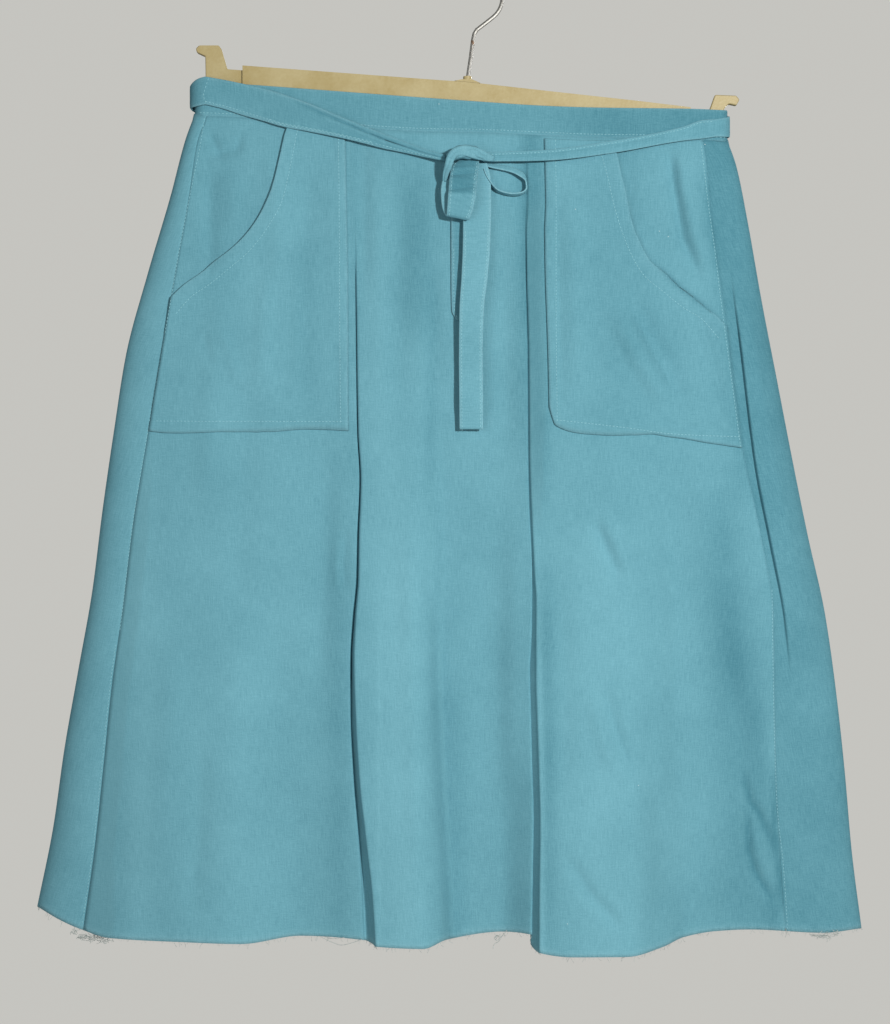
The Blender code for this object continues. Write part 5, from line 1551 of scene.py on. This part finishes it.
# Lines whose title starts so may lie only on cloth whose name starts so
ONLY_ON = {"band": "waistband", "left_pocket": "pocket", "right_pocket": "pocket", "left_tie": "tie_left",
           "tie_upper": "tie_right", "end_long": "tie_end_long", "end_short": "tie_end_short", "loop": "loop"}
for title, rows, first, last in (("end_long", END_LONG, 2.8, 8), ("end_short", END_SHORT, 2.5, 4.6),
                                 ("loop_left", LOOP_LEFT, 5.6, 10.2)):
    k = np.linspace(first, last, 30)
    for side, inset in (("left", 2.0), ("right", -2.0)):
        line = np.stack([along(rows, k, side) + inset, along(rows, k, "z")], axis=1)
        FRONT_LINES[title + "_" + side] = line
front_stretches = []
for title, line in FRONT_LINES.items():
    only = next((cloth for start, cloth in ONLY_ON.items() if title.startswith(start)), None)
    front_stretches += lay_line(line, only=only)
stitch_values = {"Pitch": STITCH_PITCH * MM, "Length": STITCH_LENGTH * MM, "Thread": THREAD * MM,
                 "Unevenness": 0.08, "Seed": 11}
grow("front_stitches", front_stretches, stitching, stitch_values, seam_thread)

# %% Lines of the back, and the loose zigzag on the left tie
back_x = np.linspace(-205.0, 183.0, 60)
band_line = np.stack([back_x, along(WAIST, back_x, "seam") + SEAM_INSET], axis=1)
edge_line = back_points(over_share, np.linspace(0.02, 0.985, 40), 0.0)[:, [0, 2]] - (EDGE_INSET, 0.0)
back_stretches = lay_line(band_line, from_behind=True) + lay_line(edge_line, from_behind=True)
grow("back_stitches", back_stretches, stitching, {**stitch_values, "Seed": 23}, seam_thread)

zigzag = [on_cloth(x, along(LEFT_TIE, x, "lower") + 2.0 + (0.9 if n % 2 else -0.9))
          for n, x in enumerate(np.arange(-156.0, -77.0, 1.5))]
loose_values = {"Pitch": 1.2 * MM, "Length": 1.4 * MM, "Thread": 0.45 * MM, "Unevenness": 0.3, "Seed": 11}
grow("loose_zigzag", [zigzag], stitching, loose_values, seam_thread)

# %% [markdown]
# ## The raw hem
#
# The hem was cut and never turned up, so it sheds yarn. Short fibres hang along all of it. They are
# grown by a second tree, which sets bent strands on points along the edge, each with its own length
# and lean. A few tufts and long threads that anyone would notice are placed one by one.

# %% Fibres along the hem
SHORTEST = 0.8 * MM
fraying, given, result = build_tree("Frayed edge", [
    ("Spacing", "NodeSocketFloat"), ("Length", "NodeSocketFloat"), ("Fibre", "NodeSocketFloat"),
    ("Lean", "NodeSocketFloat"), ("Seed", "NodeSocketInt"), ("Finish", "NodeSocketMaterial")])
roots = points_apart(fraying, given, "Spacing")
turn = turned_about(fraying, given, (0.0, 0.0, -1.0), "Lean", (1.0, 1.0, 0.4))
other_seed = add_linked(fraying, "ShaderNodeMath", {0: given.outputs["Seed"], 1: 7.0}, operation="ADD")
share = add_linked(fraying, "FunctionNodeRandomValue", {"Seed": other_seed.outputs[0]}, data_type="FLOAT")
long_one = add_linked(fraying, "ShaderNodeMath", {0: share.outputs[1], 1: 3.0}, operation="POWER")
length = add_linked(fraying, "ShaderNodeMath", {0: long_one.outputs[0], 1: given.outputs["Length"]},
                    operation="MULTIPLY")
length_set = add_linked(fraying, "ShaderNodeMath", {0: length.outputs[0], 1: SHORTEST}, operation="ADD")
bent = add_linked(fraying, "GeometryNodeCurveQuadraticBezier",
                  {"Resolution": 5, "Start": (0.0, 0.0, -0.08), "Middle": (0.22, 0.05, 0.5),
                   "End": (-0.12, 0.0, 1.0)})
section = add_linked(fraying, "GeometryNodeCurvePrimitiveCircle", {"Resolution": 3, "Radius": 0.035})
strand_mesh = add_linked(fraying, "GeometryNodeCurveToMesh",
                         {"Curve": bent.outputs[0], "Profile Curve": section.outputs[0], "Fill Caps": True})
set_on_points(fraying, given, result, roots, strand_mesh, turn, length_set)

hem_lines = [[Vector(point) * MM for point in grid[::2, -1]]
             for grid in (front_grid, back_grids["back_panel_over"], back_grids["back_panel_under"])]
fibre_values = {"Spacing": 1.1 * MM, "Length": 4.0 * MM, "Lean": 0.9, "Seed": 5}
grow("hem_fibres", hem_lines, fraying, fibre_values, raw_thread)

# %% [markdown]
# Loose threads are drawn as thin round strands through a few given points. A tuft is many short
# strands that start close together and curl, from one fixed seed.

# %% Loose threads and tufts
THREAD_POINTS = 6
STRAND_SIDES = 4
TUFT_RADIUS, LOOSE_RADIUS = 0.16, 0.2
# Each tuft of the hem: its place, reach, drop, number of strands, curl and their length
TUFTS = [
    ((-290.0, -722.6), 8.0, 1.8, 46, 1.3, 7.0), ((-302.0, -718.6), 2.5, 1.4, 10, 1.0, 5.0),
    ((-279.0, -725.5), 3.5, 1.4, 14, 1.2, 5.0), ((260.0, -721.8), 5.0, 1.3, 26, 1.0, 6.0),
    ((269.0, -719.8), 3.5, 0.9, 10, 1.0, 5.0), ((17.5, -722.0), 3.0, 1.6, 7, 1.5, 5.0),
    ((-7.0, -721.5), 3.0, 0.9, 5, 1.2, 3.0), ((165.8, -719.8), 1.0, 0.5, 6, 1.5, 2.5),
]


def sweep(path, radius):
    """A thin round strand along a path, closed at both ends."""
    path = np.array(path, float)
    ahead = np.gradient(path, axis=0)
    ahead /= np.maximum(np.linalg.norm(ahead, axis=1, keepdims=True), 1e-9)
    side = np.cross(ahead, [0.13, -1.0, 0.21])
    side /= np.maximum(np.linalg.norm(side, axis=1, keepdims=True), 1e-9)
    other = np.cross(side, ahead)
    turn = np.linspace(0.0, 2 * math.pi, STRAND_SIDES, endpoint=False)[None, :, None]
    rings = path[:, None] + radius * (np.cos(turn) * side[:, None] + np.sin(turn) * other[:, None])
    last = (len(path) - 1) * STRAND_SIDES
    ends = [list(range(STRAND_SIDES))[::-1], list(range(last, last + STRAND_SIDES))]
    return rings.reshape(-1, 3), ring_faces(len(path), STRAND_SIDES) + ends


def add_strands(name, paths, radius, finish):
    points, faces = [], []
    for path in paths:
        strand_points, strand_faces = sweep(path, radius)
        faces += [[corner + len(points) for corner in face] for face in strand_faces]
        points += strand_points.tolist()
    finish_piece(add_object(name, closed_mesh(name, points, faces, finish)), "cotton")
    print(name, len(faces), "faces")


def hem_depth(x):
    hem = front_grid[:, -1]
    order = np.argsort(hem[:, 0])
    return float(np.interp(x, hem[order, 0], hem[order, 1]))


def curled(start, reach, drop, count, wild, length, dice):
    """Short curling strands that start near a point of the hem."""
    paths = []
    for _ in range(count):
        x, z = start[0] + dice.uniform(-reach, reach), start[1] + dice.uniform(-drop, 0.6 * drop)
        y = hem_depth(x) + dice.uniform(-0.6, 2.2)
        heading = dice.uniform(0, 2 * math.pi)
        path = [(x, y, z)]
        for _ in range(THREAD_POINTS):
            heading += dice.uniform(-wild, wild)
            x += math.cos(heading) * length / THREAD_POINTS
            z += 0.6 * math.sin(heading) * length / THREAD_POINTS
            y += dice.uniform(-0.5, 0.5)
            path.append((x, y, z))
        paths.append(on_sight_line(*np.array(path)[:, [0, 2, 1]].T))
    return paths


dice = np.random.default_rng(1974)
add_strands("hem_tufts", [path for tuft in TUFTS for path in curled(*tuft, dice)], TUFT_RADIUS, raw_thread)


def long_thread(points):
    points = np.array(points, float)
    rows = {"k": np.arange(len(points)), "x": points[:, 0], "z": points[:, 1]}
    k = np.linspace(0, len(points) - 1, 8 * len(points))
    x, z = along(rows, k, "x"), along(rows, k, "z")
    return on_sight_line(x, z, np.array([hem_depth(a) - 0.9 for a in x]))


add_strands("loose_threads", [
    long_thread([(-117.5, -722.0), (-110.0, -726.0), (-101.0, -728.8), (-93.0, -727.0), (-86.0, -724.5)]),
    long_thread([(23.0, -717.5), (18.5, -722.6), (15.2, -725.4), (13.4, -723.6), (15.6, -721.4),
                 (18.6, -722.8), (16.4, -726.2), (13.2, -728.4), (12.4, -731.5)]),
    long_thread([(231.8, -716.5), (232.6, -719.5), (231.6, -723.0)]),
    long_thread([(-114.0, -722.5), (-107.0, -724.0), (-99.0, -723.2)]),
], LOOSE_RADIUS, raw_thread)

# %% [markdown]
# ## Hanger
#
# The hanger's solids already have their true shape, with moulded edges, a bore for the wire and
# sockets for the arms. They stay as they are and only take on the aged plastic and the drawn wire.

# %% Hanger finishes
for name in ("hanger_sleeve", "hanger_arm_left", "hanger_arm_right", "hanger_boss"):
    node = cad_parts[name]
    for material_slot in node.material_slots:
        material_slot.material = plastic
for material_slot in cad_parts["hanger_hook"].material_slots:
    material_slot.material = steel
print("hanger dressed")
